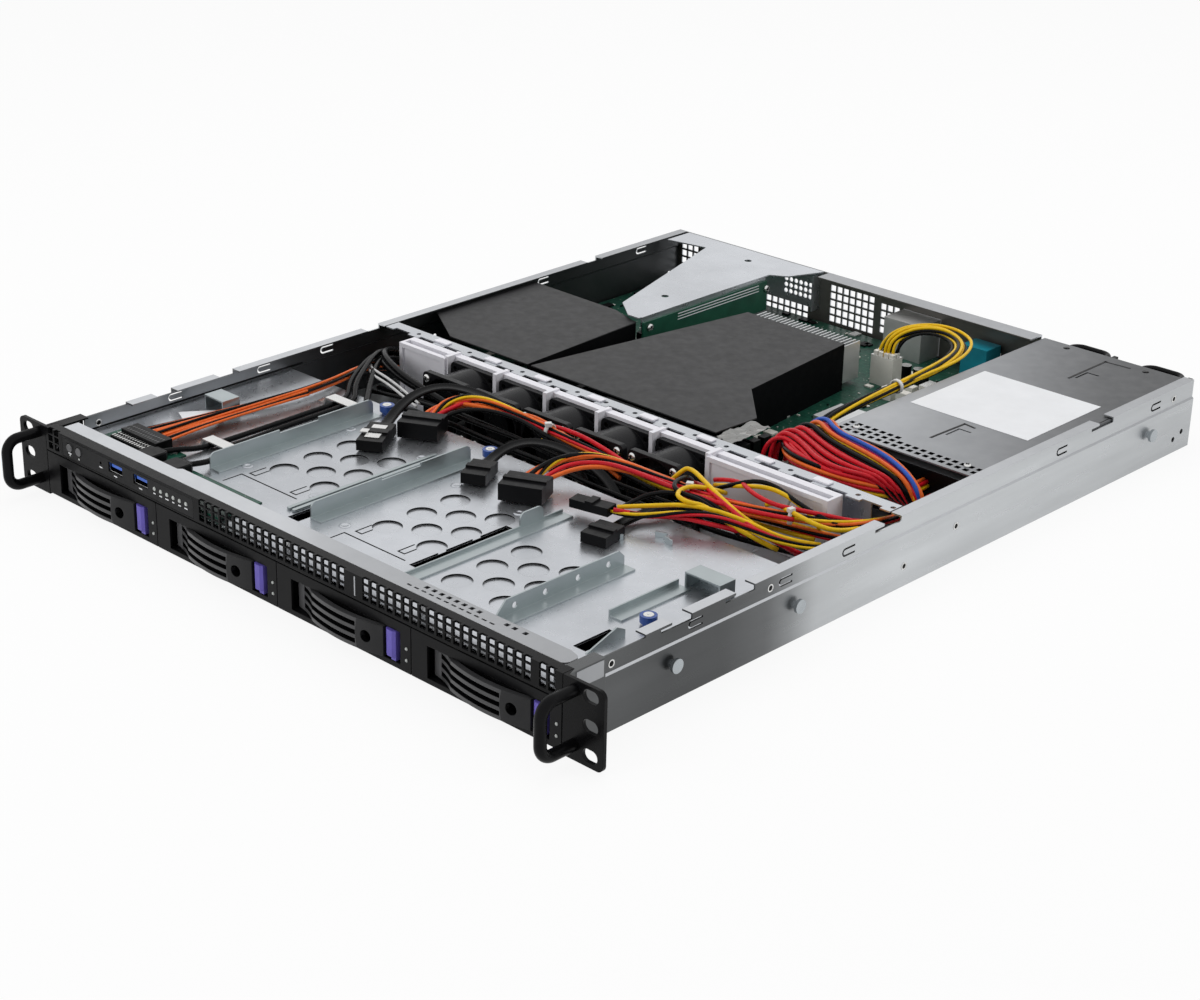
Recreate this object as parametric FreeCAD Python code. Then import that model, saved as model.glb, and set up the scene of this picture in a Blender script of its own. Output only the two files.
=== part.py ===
import FreeCAD, Part
import math
import os

from FreeCAD import Vector

# A 1U rack server with its top cover off, in millimetres.
# X runs to the right seen from the front, Y from front to rear, Z up from the underside.
# Depths are counted from the front plane of the rack ears. The saved model is moved so that
# its origin is under the middle of its box.

# Chassis
BODY_WIDTH = 430.0
HEIGHT = 43.5
DEPTH = 560.0
SHEET = 1.0
FIT = 0.2
RUN = 0.4
PAST = 1.0
WALL_FRONT = 27.0
FLOOR_FRONT = 3.0
JOG = 1.0
JOG_HEIGHT = 31.5
WALL_FLANGE = 7.0
LOW_WALL_LENGTH = 31.0
LOW_WALL_DROP = 1.5
NOTCHES = (77.0, 125.0, 247.0, 454.0)
NOTCH_LENGTH = 15.0
NOTCH_DEPTH = 3.2
NOTCH_TAIL = 8.0
NOTCH_TAIL_HEIGHT = 1.8
TONGUES = (95.6, 165.5, 217.6, 416.6, 517.5)
TONGUE_LENGTH = 13.0
TONGUE_HEIGHT = 5.0
TONGUE_SLIT = 1.1
TONGUE_Z = 37.3
WALL_HOLES = ((266.0, 12.4), (312.6, 21.8), (540.0, 9.0), (549.0, 12.0))
WALL_HOLE_RADIUS = 1.7
STUD_DEPTHS = (76.6, 172.1, 509.2)
STUD_Z = 21.3
STUD_SHANK = 2.2
STUD_SHANK_LENGTH = 2.4
STUD_HEAD = 4.0
STUD_HEAD_LENGTH = 1.8

# Ears and handles
EAR_REACH = 26.3
EAR_SHEET = 2.2
EAR_CORNER = 4.0
EAR_TAB = 8.0
EAR_SLOT_INSET = 8.75
EAR_SLOT_LOW = 6.35
EAR_SLOT_STEP = 15.875
EAR_SLOT_LENGTH = 10.0
EAR_SLOT_HEIGHT = 7.0
HANDLE_BAR = 6.5
HANDLE_REACH = 26.0
HANDLE_OFFSET = 7.0
HANDLE_LOW = 8.5
HANDLE_SPAN = 29.5
HANDLE_BEND = 8.0

# Drive bays and carriers
BAYS = 4
CARRIER_GAP = 0.3
CARRIER_HEIGHT = 27.0
BEZEL_DEPTH = 20.0
POCKET_LEFT = 9.0
POCKET_RIGHT = 98.8
POCKET_LOW = 3.0
POCKET_HEIGHT = 18.4
POCKET_DEPTH = 14.0
PAD_RIGHT = 12.0
PAD_SHEET = 1.5
TRAY_SHEET = 1.2
TRAY_SIDE_GAP = 1.6
TRAY_LENGTH = 142.0
TRAY_RAIL = 21.0
TRAY_WINDOW_BORDER = 14.0
CARRIER_VENTS = 3
CARRIER_VENT_HEIGHT = 3.6
CARRIER_VENT_MARGIN = 6.0
LAMP_RADIUS = 1.0
LAMP_OFFSET = 103.4
LAMP_HEIGHTS = (7.0, 13.6)

# Carrier lever and latch, measured from the carrier's left side
PIVOT_OFFSET = 14.0
PIVOT_DEPTH = 7.0
PIVOT_PIN = 1.5
PIVOT_PLAY = 0.06
PIVOT_BARREL = 2.7
LEVER_FRONT = ((13.0, 4.6), (22.0, 2.4), (31.0, -1.6), (54.0, -5.2), (87.0, -1.3))
LEVER_SHEET = 3.2
LEVER_GAP = 0.7
LEVER_RIBS = 4
LEVER_RIB = 2.2
LEVER_SLOT_LEFT = 19.0
LEVER_SLOT_RIGHT = 69.0
LEVER_EYE_OFFSET = 76.0
LEVER_EYE_RADIUS = 3.4
LATCH_LEFT = 88.3
LATCH_WIDTH = 7.3
LATCH_FRONT = -1.4
LATCH_LIP = 2.0
LATCH_STEP = 1.2

# Front strip
STRIP_GAP = 0.8
STRIP_SHEET = 1.2
STRIP_FOLD = 7.5
VENT = 4.5
VENT_PITCH = 6.2
VENT_LOW = 31.0
VENT_ROWS = 2
VENT_ROW_PITCH = 4.7
VENT_TOP = 40.4
VENT_WRAP = 1.9
VENT_FIELDS = (-211.6, -66.6, 70.2, 198.4)
VENT_COLUMNS = (2, 20, 20, 2)
PANEL_INSET = 18.0
PANEL_WIDTH = 125.0
PANEL_MARGIN = 1.2
PANEL_SHEET = 2.0
BUTTON_INSETS = (25.0, 34.0)
BUTTON_RADIUS = 2.6
BUTTON_LENGTH = 4.0
BUTTON_PROUD = 0.7
BUTTON_Z = 37.0
BUTTON_LAMP_DROP = 4.6
BUTTON_LAMP_RADIUS = 0.8
PINHOLE_INSET = 56.0
PINHOLE_RADIUS = 0.9
STATUS_LAMPS = 6
STATUS_INSET = 107.5
STATUS_PITCH = 5.8
STATUS_RADIUS = 1.4
PORT_INSETS = (70.3, 94.3)
PORT_WIDTH = 13.1
PORT_HEIGHT = 5.7
PORT_LENGTH = 14.0
PORT_SHELL = 0.5
PORT_TONGUE = 1.9
PORT_TONGUE_WIDTH = 10.6
RAIL_DEPTH = 10.2
RAIL_STEP = 2.2
RAIL_STEP_X = -107.0
RAIL_LEFT_GAP = 9.0
RAIL_RIGHT_GAP = 7.0
RAIL_POST_INSET = 12.0
RAIL_POST_WIDTH = 5.0
RAIL_TAB_CORNER = 4.0
DASHES = 12
DASH_FIRST = 91.0
DASH_PITCH = 5.5
DASH_SIZE = (3.4, 1.3)
DASH_DEPTH = 11.6
SQUARES = (100.0, 105.5, 111.0, 116.5, 122.0, 127.5, 133.0, 138.5, 158.0, 163.5, 171.0)
SQUARE = 2.8
SQUARE_DEPTH = 15.2

# Front panel board
BOARD_SHEET = 1.2
BOARD_LIFT = 1.0
PANEL_BOARD_INSET = 16.0
PANEL_BOARD_WIDTH = 143.0
PANEL_BOARD_STEP = 59.0
PANEL_BOARD_FRONT = 5.0
PANEL_BOARD_REAR = 36.0
PANEL_BOARD_LONG = 47.0
HEADER_INSET = 12.0
HEADER_WIDTH = 34.0
HEADER_FRONT = 27.0
HEADER_LENGTH = 20.0
HEADER_HEIGHT = 6.4
HEADER_STEP = 8.0
FOOT_RADIUS = 2.5

# Drive cage
CAGE_HEADROOM = 2.6
CAGE_REAR = 186.0
CAGE_DIVIDER_REAR = 172.0
CAGE_VENT_RADIUS = 8.5
CAGE_VENT_STEP_X = 18.0
CAGE_VENT_STEP_Y = 25.5
CAGE_FIELDS = ((-70.0, 78.0), (31.0, 68.0), (107.0, 49.0))
CAGE_CORNER = (182.0, 190.5, 40.0, 66.0)
CAGE_WINDOWS = ((-35.0, -26.0, 37.0, 104.0), (57.0, 62.0, 44.0, 116.0))
CAGE_LANCES = ((-94.6, 59.5), (-57.5, 59.0), (8.0, 51.0), (43.0, 50.7))
CAGE_LANCE_LENGTH = 12.5
CAGE_LANCE_WIDTH = 5.0
CAGE_LANCE_SLIT = 1.0
CAGE_SEAMS = ((-100.0, 42.0, 55.4, -50.0), (2.0, 35.0, 45.4, 52.0))
ROOF_SHEET = 0.6
RAIL_HEIGHT = 10.0
RAIL_BASE = 9.0
RAIL_CORNER = 4.0
RAIL_NOTCH_START = 52.0
RAIL_NOTCH_LENGTH = 30.0
RAIL_NOTCH_DEPTH = 2.0
DEVICE_RAILS = ((-118.0, 47.0, 172.0), (-24.0, 44.0, 165.0))
LOW_RAIL = (66.0, 32.0, 150.0)
LOW_RAIL_HEIGHT = 2.6
LOW_RAIL_TAB = (117.0, 135.0)
LOW_RAIL_HOOK = (54.0, 27.0, 4.0)
SIDE_RAIL = (136.0, 30.0, 125.0)
SIDE_RAIL_CHAMFERS = (8.0, 4.0)
SIDE_RAIL_HOLES = (44.0, 66.0, 90.0, 113.0)
SIDE_RAIL_HOLE = 1.8
SHORT_RAIL = (172.0, 76.0, 128.0)
SHORT_RAIL_HEIGHT = 4.0
FLAP = (192.0, 38.0, 60.0, 66.0)
FLAP_HEIGHTS = (7.0, 4.0)
STOPS = ((176.0, 200.0, 129.0, 141.0), (-196.0, -178.0, 104.0, 117.0))
STOP_HEIGHT = 9.0
KNOB_INSET = 23.0
KNOB_INSET_DEPTH = 84.0
KNOB_PLACES = ((-18.0, 176.0), (-112.0, 179.0))
KNOB_RADIUS = 4.6
KNOB_HEIGHT = 4.0
KNOB_COLLAR = 3.2
KNOB_COLLAR_HEIGHT = 1.6
BACKPLANE_FRONT = 175.0
BACKPLANE_SHEET = 1.6
SOCKET_WIDTH = 46.0
SOCKET_DEPTH = 8.0
SOCKET_HEIGHT = 9.0
DATA_SOCKET = (12.0, 8.0)
STRAPS = ((-136.0, 69.0), (-137.0, 165.0))
STRAP_SPAN = 27.0
STRAP_RISE = 5.0
STRAP_WIDTH = 8.0
STRAP_SHEET = 1.0
STRAP_FOOT = 6.0

# Fan wall
FANS = 5
FAN_SIZE = 40.0
FAN_PITCH = 44.0
FAN_FIRST_X = -113.0
FAN_FRONT = 228.0
FAN_DEPTH = 28.0
FAN_FLANGE = 4.0
FAN_BORE = 19.0
FAN_WALL = 0.9
FAN_CORNER = 3.0
FAN_SCREW = 16.0
FAN_SCREW_RADIUS = 1.7
FAN_HUB = 11.0
FAN_STRUT = 2.4
FAN_BACK = 3.0
BLADES = 7
BLADE_SHEET = 1.1
BLADE_TIP_GAP = 0.6
BLADE_PITCH_ROOT = 48.0
BLADE_PITCH_TIP = 30.0
BLADE_SPAN_Y = 13.0
BLADE_OVERRUN = 2.0
HOUSING_LEFT = -178.0
HOUSING_RIGHT = 174.0
HOUSING_BAR = 5.4
HOUSING_BAR_HEIGHT = 3.2
HOUSING_CLIP = 3.0
HOUSING_CLIP_LENGTH = 12.0
HOUSING_PANEL = 2.0
HOUSING_RIM = 3.0
HOUSING_RIM_PROUD = 1.4
BRACKET_LENGTH = 11.0
BRACKET_TAB = 14.0
BRACKET_TAB_PITCH = 24.0
BRACKET_TAB_DEPTH = 3.0
BRACKET_HOLE = 1.6
BRACKET_WINDOW = 36.0
PASSAGE_WIDTH = 20.0
PASSAGE_LOW = 4.0
PASSAGE_HIGH = 40.0

# Main board
STANDOFF = 5.0
STANDOFF_RADIUS = 3.0
BOARD_FRONT = 286.0
BOARD_SIDE_GAP = 1.0
BOARD_PSU_GAP = 4.2
BOARD_REAR_GAP = 4.0
MAIN_BOARD_SHEET = 1.6
STANDOFF_INSET = 8.0
MEMORY_LEFT = -78.0
MEMORY_LENGTH = 140.0
MEMORY_FIRST = 300.0
MEMORY_PITCH = 9.6
MEMORY_SOCKETS = 4
MEMORY_WIDTH = 6.5
MEMORY_HEIGHT = 9.0
MEMORY_GROOVE = 1.6
MEMORY_END = 5.0
MEMORY_END_HEIGHT = 17.0
CPU_SOCKET_HEIGHT = 3.6
SINK_LEFT = -64.0
SINK_WIDTH = 80.0
SINK_FRONT = 398.0
SINK_LENGTH = 82.0
SINK_BASE = 4.0
SINK_TOP = 37.0
SINK_FIN = 0.8
SINK_FINS = 24
MAIN_PLUG_GAP = 6.0
MAIN_PLUG = (293.0, 10.0, 52.0, 13.0)
CPU_PLUG = (21.0, 74.0, 18.0, 10.0, 20.0)
SMALL_PLUGS = ((44.0, 92.0, 8.0, 6.0, 8.0), (56.0, 92.0, 8.0, 6.0, 8.0), (48.0, 80.0, 12.0, 6.0, 8.0),
               (62.0, 76.0, 6.0, 12.0, 10.0))
SIGNAL_PLUG_GAP = 13.0
SIGNAL_PLUG = (298.0, 18.0, 8.0, 9.0)
CHIP_SINK = (46.0, 396.0, 28.0, 28.0, 9.0)
CAPACITORS = ((34.0, 52.0), (44.0, 52.0), (54.0, 60.0), (-30.0, 64.0), (-42.0, 64.0), (-54.0, 64.0))
CAPACITOR_RADIUS = 3.6
CAPACITOR_HEIGHT = 10.0
LAN_BLOCK = (-8.0, 31.0, 22.0, 26.0)
SERIAL_BLOCK = (54.0, 20.0, 16.0, 22.0)
SERIAL_SHELL = (17.0, 8.6, 6.0)
SERIAL_SLOPE = 1.2
PORT_DEPTH = 12.0
PORT_WALL = 1.0
LAN_ROOM = 10.6

# Expansion slot
RISER_INSET = 114.0
RISER_LENGTH = 127.0
RISER_REAR_GAP = 37.0
RISER_TOP = 40.0
RISER_SLOT = (11.0, 92.0, 8.0)
RISER_EDGE = 4.0
RISER_EDGE_LENGTH = 84.0
RISER_EDGE_START = 7.0
RISER_SLOT_LIFT = 2.0
EDGE_SOCKET_END = 3.0
EDGE_SOCKET_WALL = 2.0
EDGE_SOCKET_WIDTH = 7.0
EDGE_SOCKET_HEIGHT = 11.0
RISER_PLATE = ((103.0, 166.0), (113.0, 166.0), (114.5, 34.0), (126.0, 27.0), (137.0, 1.4),
               (11.0, 1.4), (11.0, 25.0), (43.0, 19.0), (84.0, 151.0))
RISER_PLATE_HOLES = ((84.0, 20.7), (95.0, 120.4))
RISER_PLATE_HOLE = 5.2
RISER_FLANGE = 9.0
SLOT_INSET = 26.0
SLOT_WIDTH = 105.0
SLOT_LOW = 18.0
SLOT_HIGH = 38.0
SLOT_OVERLAP = 3.0
SLOT_LIP = 8.0
SLOT_VENT = 3.2
SLOT_VENT_PITCH = 4.4
SLOT_VENT_COLUMNS = 6
SLOT_VENT_ROWS = 3

# Rear panel
REAR_PSU_GAP = 2.2
REAR_FLANGE = 12.0
REAR_FLANGE_INSET = 141.0
REAR_VENT = 4.2
REAR_VENT_PITCH = 5.6
REAR_VENT_FIELDS = ((-71.0, 9.0), (-210.5, 8.0), (-190.0, 5.0), (-27.0, 12.0))
REAR_VENT_COLUMNS = (7, 3, 18, 3)
REAR_VENT_ROWS = (5, 5, 2, 4)

# Air shrouds
SHROUD_SHEET = 0.8
SHROUD_TOP = 40.0
SHROUD_SINK_GAPS = (2.0, 1.0)
SHROUD_GAP = 3.0
CPU_SHROUD_FRONT = ((60.0, 286.0), (62.0, 321.0), (28.0, 356.0))
CPU_SHROUD_REAR = (461.0, 463.0)
LEFT_SHROUD_FRONT = ((4.0, 312.0), (45.0, 286.0), (117.0, 286.0))
LEFT_SHROUD_REAR = ((110.5, -2.0), (85.0, 6.0), (4.0, 8.0))

# Power supply
PSU_WIDTH = 108.6
PSU_LENGTH = 223.0
PSU_TOP_GAP = 1.5
PSU_MODULES = 2
PSU_MODULE_FRONT = 36.0
PSU_BOARD_FRONT = 28.0
PSU_VENT = 3.4
PSU_VENT_PITCH = 5.6
PSU_VENTS = 18
PSU_SHORT_VENTS = 7
PSU_LANCE = (14.0, 9.0, 1.4)
PSU_LANCE_FRONT = 54.0
PSU_LANCE_REAR = 34.0
PSU_OUTLET_DROP = 4.0
PSU_EDGE = 1.2
INLET = (27.0, 19.6, 9.0)
INLET_CORNER = 5.0
INLET_LIFT = 5.0
INLET_MARGIN = 3.0
MODULE_FAN_RADIUS = 15.0
MODULE_FAN_DEPTH = 6.0
MODULE_FAN_MARGIN = 2.0
MODULE_FAN_HUB = 6.2
PSU_HANDLE_BAR = 4.0
PSU_HANDLE_REACH = 18.0
PSU_HANDLE_SPAN = 27.0
PSU_HANDLE_BEND = 7.0
PSU_HANDLE_DROP = 4.4
PSU_LATCH = (5.0, 9.0, 8.0)
PSU_LATCH_LIP = 3.0
PSU_LATCH_SIDE = 2.0
PSU_LATCH_DROP = 1.0

# Cables: the share of a run that an arc takes, bundle diameters and routes
BEND_SHARE = 0.45
FRONT_CABLE = 6.0
FRONT_ROUTE = ((-170.0, 47.0, 37.4), (-170.0, 66.0, 37.4), (-168.6, 95.0, 37.4), (-165.0, 126.0, 38.0),
               (-162.0, 156.0, 38.4), (-165.0, 184.0, 37.6), (-174.0, 210.0, 35.0), (-185.0, 234.0, 29.0),
               (-190.0, 258.0, 19.6), (-190.0, 279.0, 12.5), (-190.0, 298.0, 12.5))
SATA_CABLE = 4.4
SATA_ROUTE_1 = ((-87.95, 154.72, 36.4), (-93.25, 163.2, 36.4), (-98.5, 177.0, 40.6), (-100.5, 193.0, 44.8),
                (-95.0, 209.0, 46.6), (-80.0, 218.5, 45.4), (-55.0, 221.0, 42.4), (-30.0, 220.5, 38.6),
                (-8.0, 218.0, 34.0), (10.0, 213.5, 29.5), (27.0, 207.0, 24.5), (38.0, 199.0, 21.5),
                (43.0, 190.0, 20.2), (43.0, 183.6, 20.2))
SATA_ROUTE_2 = ((-4.0, 158.8, 36.6), (-8.54, 167.71, 36.6), (-8.0, 180.0, 40.6), (-2.0, 192.0, 42.6),
                (11.0, 200.0, 41.6), (28.0, 204.0, 38.0), (46.0, 204.0, 32.4), (58.0, 201.0, 27.5),
                (66.5, 196.0, 23.4), (70.0, 189.4, 21.0), (70.0, 183.6, 21.0))
SATA_ROUTE_3 = ((103.9, 150.8, 34.4), (101.7, 161.15, 34.4), (103.0, 173.0, 35.6), (108.0, 185.0, 37.6),
                (114.5, 194.5, 36.0), (120.5, 199.0, 30.6), (125.0, 197.0, 24.4), (127.0, 190.4, 21.0),
                (127.0, 183.6, 21.0))
DRIVE_CABLE = 5.0
DRIVE_ROUTE_1 = ((-74.7, 178.83, 38.6), (-79.4, 187.66, 38.6), (-81.0, 199.0, 42.4), (-74.0, 209.0, 45.2),
                 (-60.0, 213.5, 46.2), (-36.0, 213.0, 45.4), (-8.0, 212.5, 43.0), (20.0, 213.5, 39.6),
                 (46.0, 216.0, 36.0), (74.0, 217.5, 33.4), (102.0, 219.0, 32.0), (130.0, 224.0, 31.0),
                 (156.0, 231.0, 30.0), (179.0, 240.0, 27.0), (194.0, 254.0, 22.6), (199.6, 274.0, 18.6),
                 (200.4, 298.0, 15.4), (200.0, 320.0, 14.2), (200.0, 337.0, 14.2))
DRIVE_ROUTE_2 = ((34.22, 157.99, 38.6), (29.84, 166.98, 38.6), (29.0, 178.0, 42.0), (34.0, 190.0, 45.0),
                 (47.0, 199.5, 45.8), (68.0, 203.5, 44.8), (94.0, 205.0, 43.0), (120.0, 208.5, 41.4),
                 (144.0, 215.0, 40.4), (166.0, 224.0, 39.4), (184.0, 235.0, 37.8), (195.0, 250.0, 35.6),
                 (199.6, 270.0, 33.6), (200.4, 294.0, 32.0), (200.0, 318.0, 30.8), (200.0, 337.0, 30.8))
THIN_CABLE = 4.0
DRIVE_ROUTE_3 = ((93.73, 161.1, 39.0), (104.48, 163.38, 39.0), (116.0, 169.5, 40.4), (127.0, 181.0, 42.0),
                 (141.0, 191.5, 42.0), (160.0, 196.0, 39.8), (177.0, 203.0, 35.0), (190.0, 218.0, 29.4),
                 (197.6, 238.0, 27.2), (200.4, 262.0, 26.4), (200.6, 288.0, 24.4), (200.0, 314.0, 22.6),
                 (200.0, 337.0, 22.6))
MAIN_CABLE = 9.0
MAIN_ROUTE = ((174.0, 337.0, 27.0), (174.0, 321.0, 27.0), (170.5, 304.0, 31.0), (157.0, 291.5, 36.0),
              (138.0, 286.5, 39.0), (119.0, 289.0, 40.0), (106.0, 297.0, 39.6), (97.0, 308.0, 38.6),
              (91.5, 315.5, 35.6), (89.0, 318.5, 30.0), (89.0, 318.5, 20.6))
CPU_CABLE = 6.5
CPU_ROUTE = ((30.0, 491.0, 27.6), (30.0, 491.0, 35.0), (33.6, 496.6, 41.2), (42.0, 505.0, 45.2),
             (56.0, 510.5, 46.6), (71.0, 507.0, 46.4), (83.0, 497.0, 46.0), (90.0, 481.0, 45.4),
             (93.0, 459.0, 44.8), (94.0, 433.0, 44.4), (94.0, 406.0, 43.8), (93.0, 380.0, 42.4),
             (92.0, 358.0, 40.4), (92.5, 344.0, 38.6), (92.5, 329.4, 36.6), (98.95, 323.0, 35.4),
             (108.05, 323.0, 34.4), (114.5, 329.4, 33.4), (114.5, 337.0, 33.4))

# Loose plugs: middle, turn about the vertical, width, length and height
PLUGS = ((-80.0, 142.0, 36.4, 32.0, 16.0, 30.0, 6.5),
         (-70.0, 170.0, 38.6, 28.0, 25.0, 20.0, 10.0),
         (38.6, 149.0, 38.6, 26.0, 26.0, 20.0, 10.0),
         (1.0, 149.0, 36.6, 27.0, 15.0, 22.0, 6.5),
         (81.5, 158.5, 39.0, -78.0, 9.0, 25.0, 5.0),
         (106.0, 141.0, 35.4, 12.0, 16.0, 20.0, 6.0))
PLUG_RIDGE = 1.2

# Worked-out places
HALF = BODY_WIDTH / 2
RACK_HALF = HALF + EAR_REACH
HANDLE_X = HALF + HANDLE_OFFSET
PANEL_LEFT = PANEL_INSET - HALF
PANEL_RIGHT = PANEL_LEFT + PANEL_WIDTH
BUTTONS = tuple(inset - HALF for inset in BUTTON_INSETS)
PORTS = tuple(inset - HALF for inset in PORT_INSETS)
RAIL_LEFT = RAIL_LEFT_GAP - HALF
RAIL_RIGHT = HALF - RAIL_RIGHT_GAP
KNOBS = ((HALF - KNOB_INSET, KNOB_INSET_DEPTH),) + KNOB_PLACES
PANEL_BOARD_LEFT = PANEL_BOARD_INSET - HALF
PANEL_BOARD_RIGHT = PANEL_BOARD_LEFT + PANEL_BOARD_WIDTH
PANEL_BOARD_SPLIT = PANEL_BOARD_LEFT + PANEL_BOARD_STEP
HEADER_LEFT = PANEL_BOARD_LEFT + HEADER_INSET
RISER_X = RISER_INSET - HALF
RISER_REAR = DEPTH - RISER_REAR_GAP
RISER_FRONT = RISER_REAR - RISER_LENGTH
SLOT_LEFT = SLOT_INSET - HALF
SLOT_RIGHT = SLOT_LEFT + SLOT_WIDTH
WALL_IN = HALF - JOG - SHEET
BAY = (BODY_WIDTH - 2 * SHEET) / BAYS
CARRIER_LOW = SHEET + RUN
CARRIER_TOP = CARRIER_LOW + CARRIER_HEIGHT
CAGE_LOW = CARRIER_TOP + CAGE_HEADROOM
CAGE_TOP = CAGE_LOW + SHEET
STRIP_LOW = CARRIER_TOP + STRIP_GAP
TOP_LOW = HEIGHT - SHEET
PANEL_LOW = STRIP_LOW + PANEL_MARGIN
PANEL_HIGH = HEIGHT - STRIP_SHEET - PANEL_MARGIN / 2
PANEL_BOARD_TOP = CAGE_TOP + BOARD_LIFT + BOARD_SHEET
PORT_Z = PANEL_BOARD_TOP + FIT + PORT_HEIGHT / 2
FAN_REAR = FAN_FRONT + FAN_DEPTH
FAN_Z = SHEET + 2 * FIT + FAN_SIZE / 2
HOUSING_FRONT = FAN_REAR + RUN
BRACKET_FRONT = HOUSING_FRONT + HOUSING_BAR + FIT
BOARD_LOW = SHEET + STANDOFF
BOARD_TOP = BOARD_LOW + MAIN_BOARD_SHEET
PSU_RIGHT = WALL_IN - FIT
PSU_LEFT = PSU_RIGHT - PSU_WIDTH
BOARD_LEFT = -WALL_IN + BOARD_SIDE_GAP
BOARD_RIGHT = PSU_LEFT - BOARD_PSU_GAP
BOARD_REAR = DEPTH - BOARD_REAR_GAP
REAR_RIGHT = PSU_LEFT - REAR_PSU_GAP
PSU_FRONT = DEPTH - PSU_LENGTH
PSU_TOP = HEIGHT - PSU_TOP_GAP
PSU_BAY = (PSU_WIDTH - (PSU_MODULES + 1) * SHEET) / PSU_MODULES
MODULE_LOW = SHEET + 2 * RUN
MODULE_TOP = PSU_TOP - SHEET - RUN
REAR_END = DEPTH + PSU_HANDLE_REACH
MIDDLE_Y = (REAR_END - HANDLE_REACH) / 2


# Shape helpers

def block(xs, ys, zs):
    """A box between two X, two Y and two Z values."""
    corner = Vector(xs[0], ys[0], zs[0])
    return Part.makeBox(xs[1] - xs[0], ys[1] - ys[0], zs[1] - zs[0], corner)


def seated(place):
    """A box standing on the main board: left, front, width, length and height."""
    left, front, width, length, height = place
    return block((left, left + width), (front, front + length), (BOARD_TOP, BOARD_TOP + height))


def place(axis, level, first, second):
    """A point at a level of one axis, from its other two coordinates in X, Y, Z order."""
    if axis == "x":
        return Vector(level, first, second)
    if axis == "y":
        return Vector(first, level, second)
    return Vector(first, second, level)


AXES = {"x": Vector(1, 0, 0), "y": Vector(0, 1, 0), "z": Vector(0, 0, 1)}


def prism(axis, points, low, high):
    """A flat outline carried along one axis."""
    corners = [place(axis, low, a, b) for a, b in points]
    face = Part.Face(Part.makePolygon(corners + corners[:1]))
    return face.extrude(AXES[axis] * (high - low))


def bar(axis, first, second, radius, low, high):
    """A round bar along one axis."""
    return Part.makeCylinder(radius, high - low, place(axis, low, first, second), AXES[axis])


def stadium(axis, first, second, length, width, low, high):
    """A round-ended slot, long in the first of its two directions."""
    reach = (length - width) / 2
    half = width / 2
    outline = [(first - reach, second - half), (first + reach, second - half),
               (first + reach, second + half), (first - reach, second + half)]
    ends = [bar(axis, first + side * reach, second, half, low, high) for side in (-1, 1)]
    return prism(axis, outline, low, high).multiFuse(ends)


def joined(shapes):
    """Touching shapes as one solid."""
    return shapes[0].multiFuse(shapes[1:]).removeSplitter()


def without(shape, tools):
    """A shape with several cut-outs that do not touch each other."""
    return shape.cut(Part.makeCompound(tools))


def rounded(shape, axis, radius, chosen):
    """Rounds the edges along one axis whose middle point is chosen."""
    edges = []
    for edge in shape.Edges:
        middle = edge.valueAt((edge.FirstParameter + edge.LastParameter) / 2)
        along = edge.tangentAt(edge.FirstParameter)
        if abs(along.dot(AXES[axis])) > 0.999 and chosen(middle):
            edges.append(edge)
    return shape.makeFillet(radius, edges)


def mirrored(shape):
    """The same piece on the left side."""
    return shape.mirror(Vector(0, 0, 0), Vector(1, 0, 0))


def bent_bar(points, bend, diameter):
    """A round bar through points, with the same bend at each corner."""
    return tube(points, diameter, [bend] * (len(points) - 2))


def tube(points, diameter, bends):
    """A round tube of straight runs and tangent arcs."""
    knots = [Vector(*point) for point in points]
    edges = []
    start = knots[0]
    for before, corner, after, bend in zip(knots, knots[1:], knots[2:], bends):
        way_in = (before - corner).normalize()
        way_out = (after - corner).normalize()
        half_turn = (math.pi - way_in.getAngle(way_out)) / 2
        reach = bend * math.tan(half_turn)
        arc_start = corner + way_in * reach
        arc_end = corner + way_out * reach
        inward = (way_in + way_out).normalize()
        arc_middle = corner + inward * (bend / math.cos(half_turn) - bend)
        edges.append(Part.LineSegment(start, arc_start).toShape())
        edges.append(Part.Arc(arc_start, arc_middle, arc_end).toShape())
        start = arc_end
    edges.append(Part.LineSegment(start, knots[-1]).toShape())
    path = Part.Wire(edges)
    ring = Part.Circle(knots[0], knots[1] - knots[0], diameter / 2)
    return path.makePipeShell([Part.Wire(ring.toShape())], True, False)


def cable(points, diameter):
    """A cable bundle whose arcs are as large as its runs allow."""
    knots = [Vector(*point) for point in points]
    bends = []
    for before, corner, after in zip(knots, knots[1:], knots[2:]):
        turn = math.pi - (before - corner).getAngle(after - corner)
        shorter = min((before - corner).Length, (after - corner).Length)
        bends.append(BEND_SHARE * shorter / math.tan(turn / 2))
    return tube(points, diameter, bends)


def save(node, *shapes):
    """Writes one node, moved so that the origin is under the middle of the model."""
    shape = shapes[0] if len(shapes) == 1 else Part.makeCompound(list(shapes))
    moved = shape.copy()
    moved.translate(Vector(0, -MIDDLE_Y, 0))
    moved.exportStep(os.path.join("parts", node + ".step"))


# Chassis

def wall_profile():
    """The right wall's folded sheet, from the underside to its top flange."""
    shoulder = SHEET * math.tan(math.pi / 8)
    outer = HALF - JOG
    return [(HALF - SHEET, 0), (HALF, 0), (HALF, JOG_HEIGHT), (outer, JOG_HEIGHT + JOG), (outer, HEIGHT),
            (outer - WALL_FLANGE, HEIGHT), (outer - WALL_FLANGE, TOP_LOW), (WALL_IN, TOP_LOW),
            (WALL_IN, JOG_HEIGHT + JOG - shoulder), (HALF - SHEET, JOG_HEIGHT - shoulder)]


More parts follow.
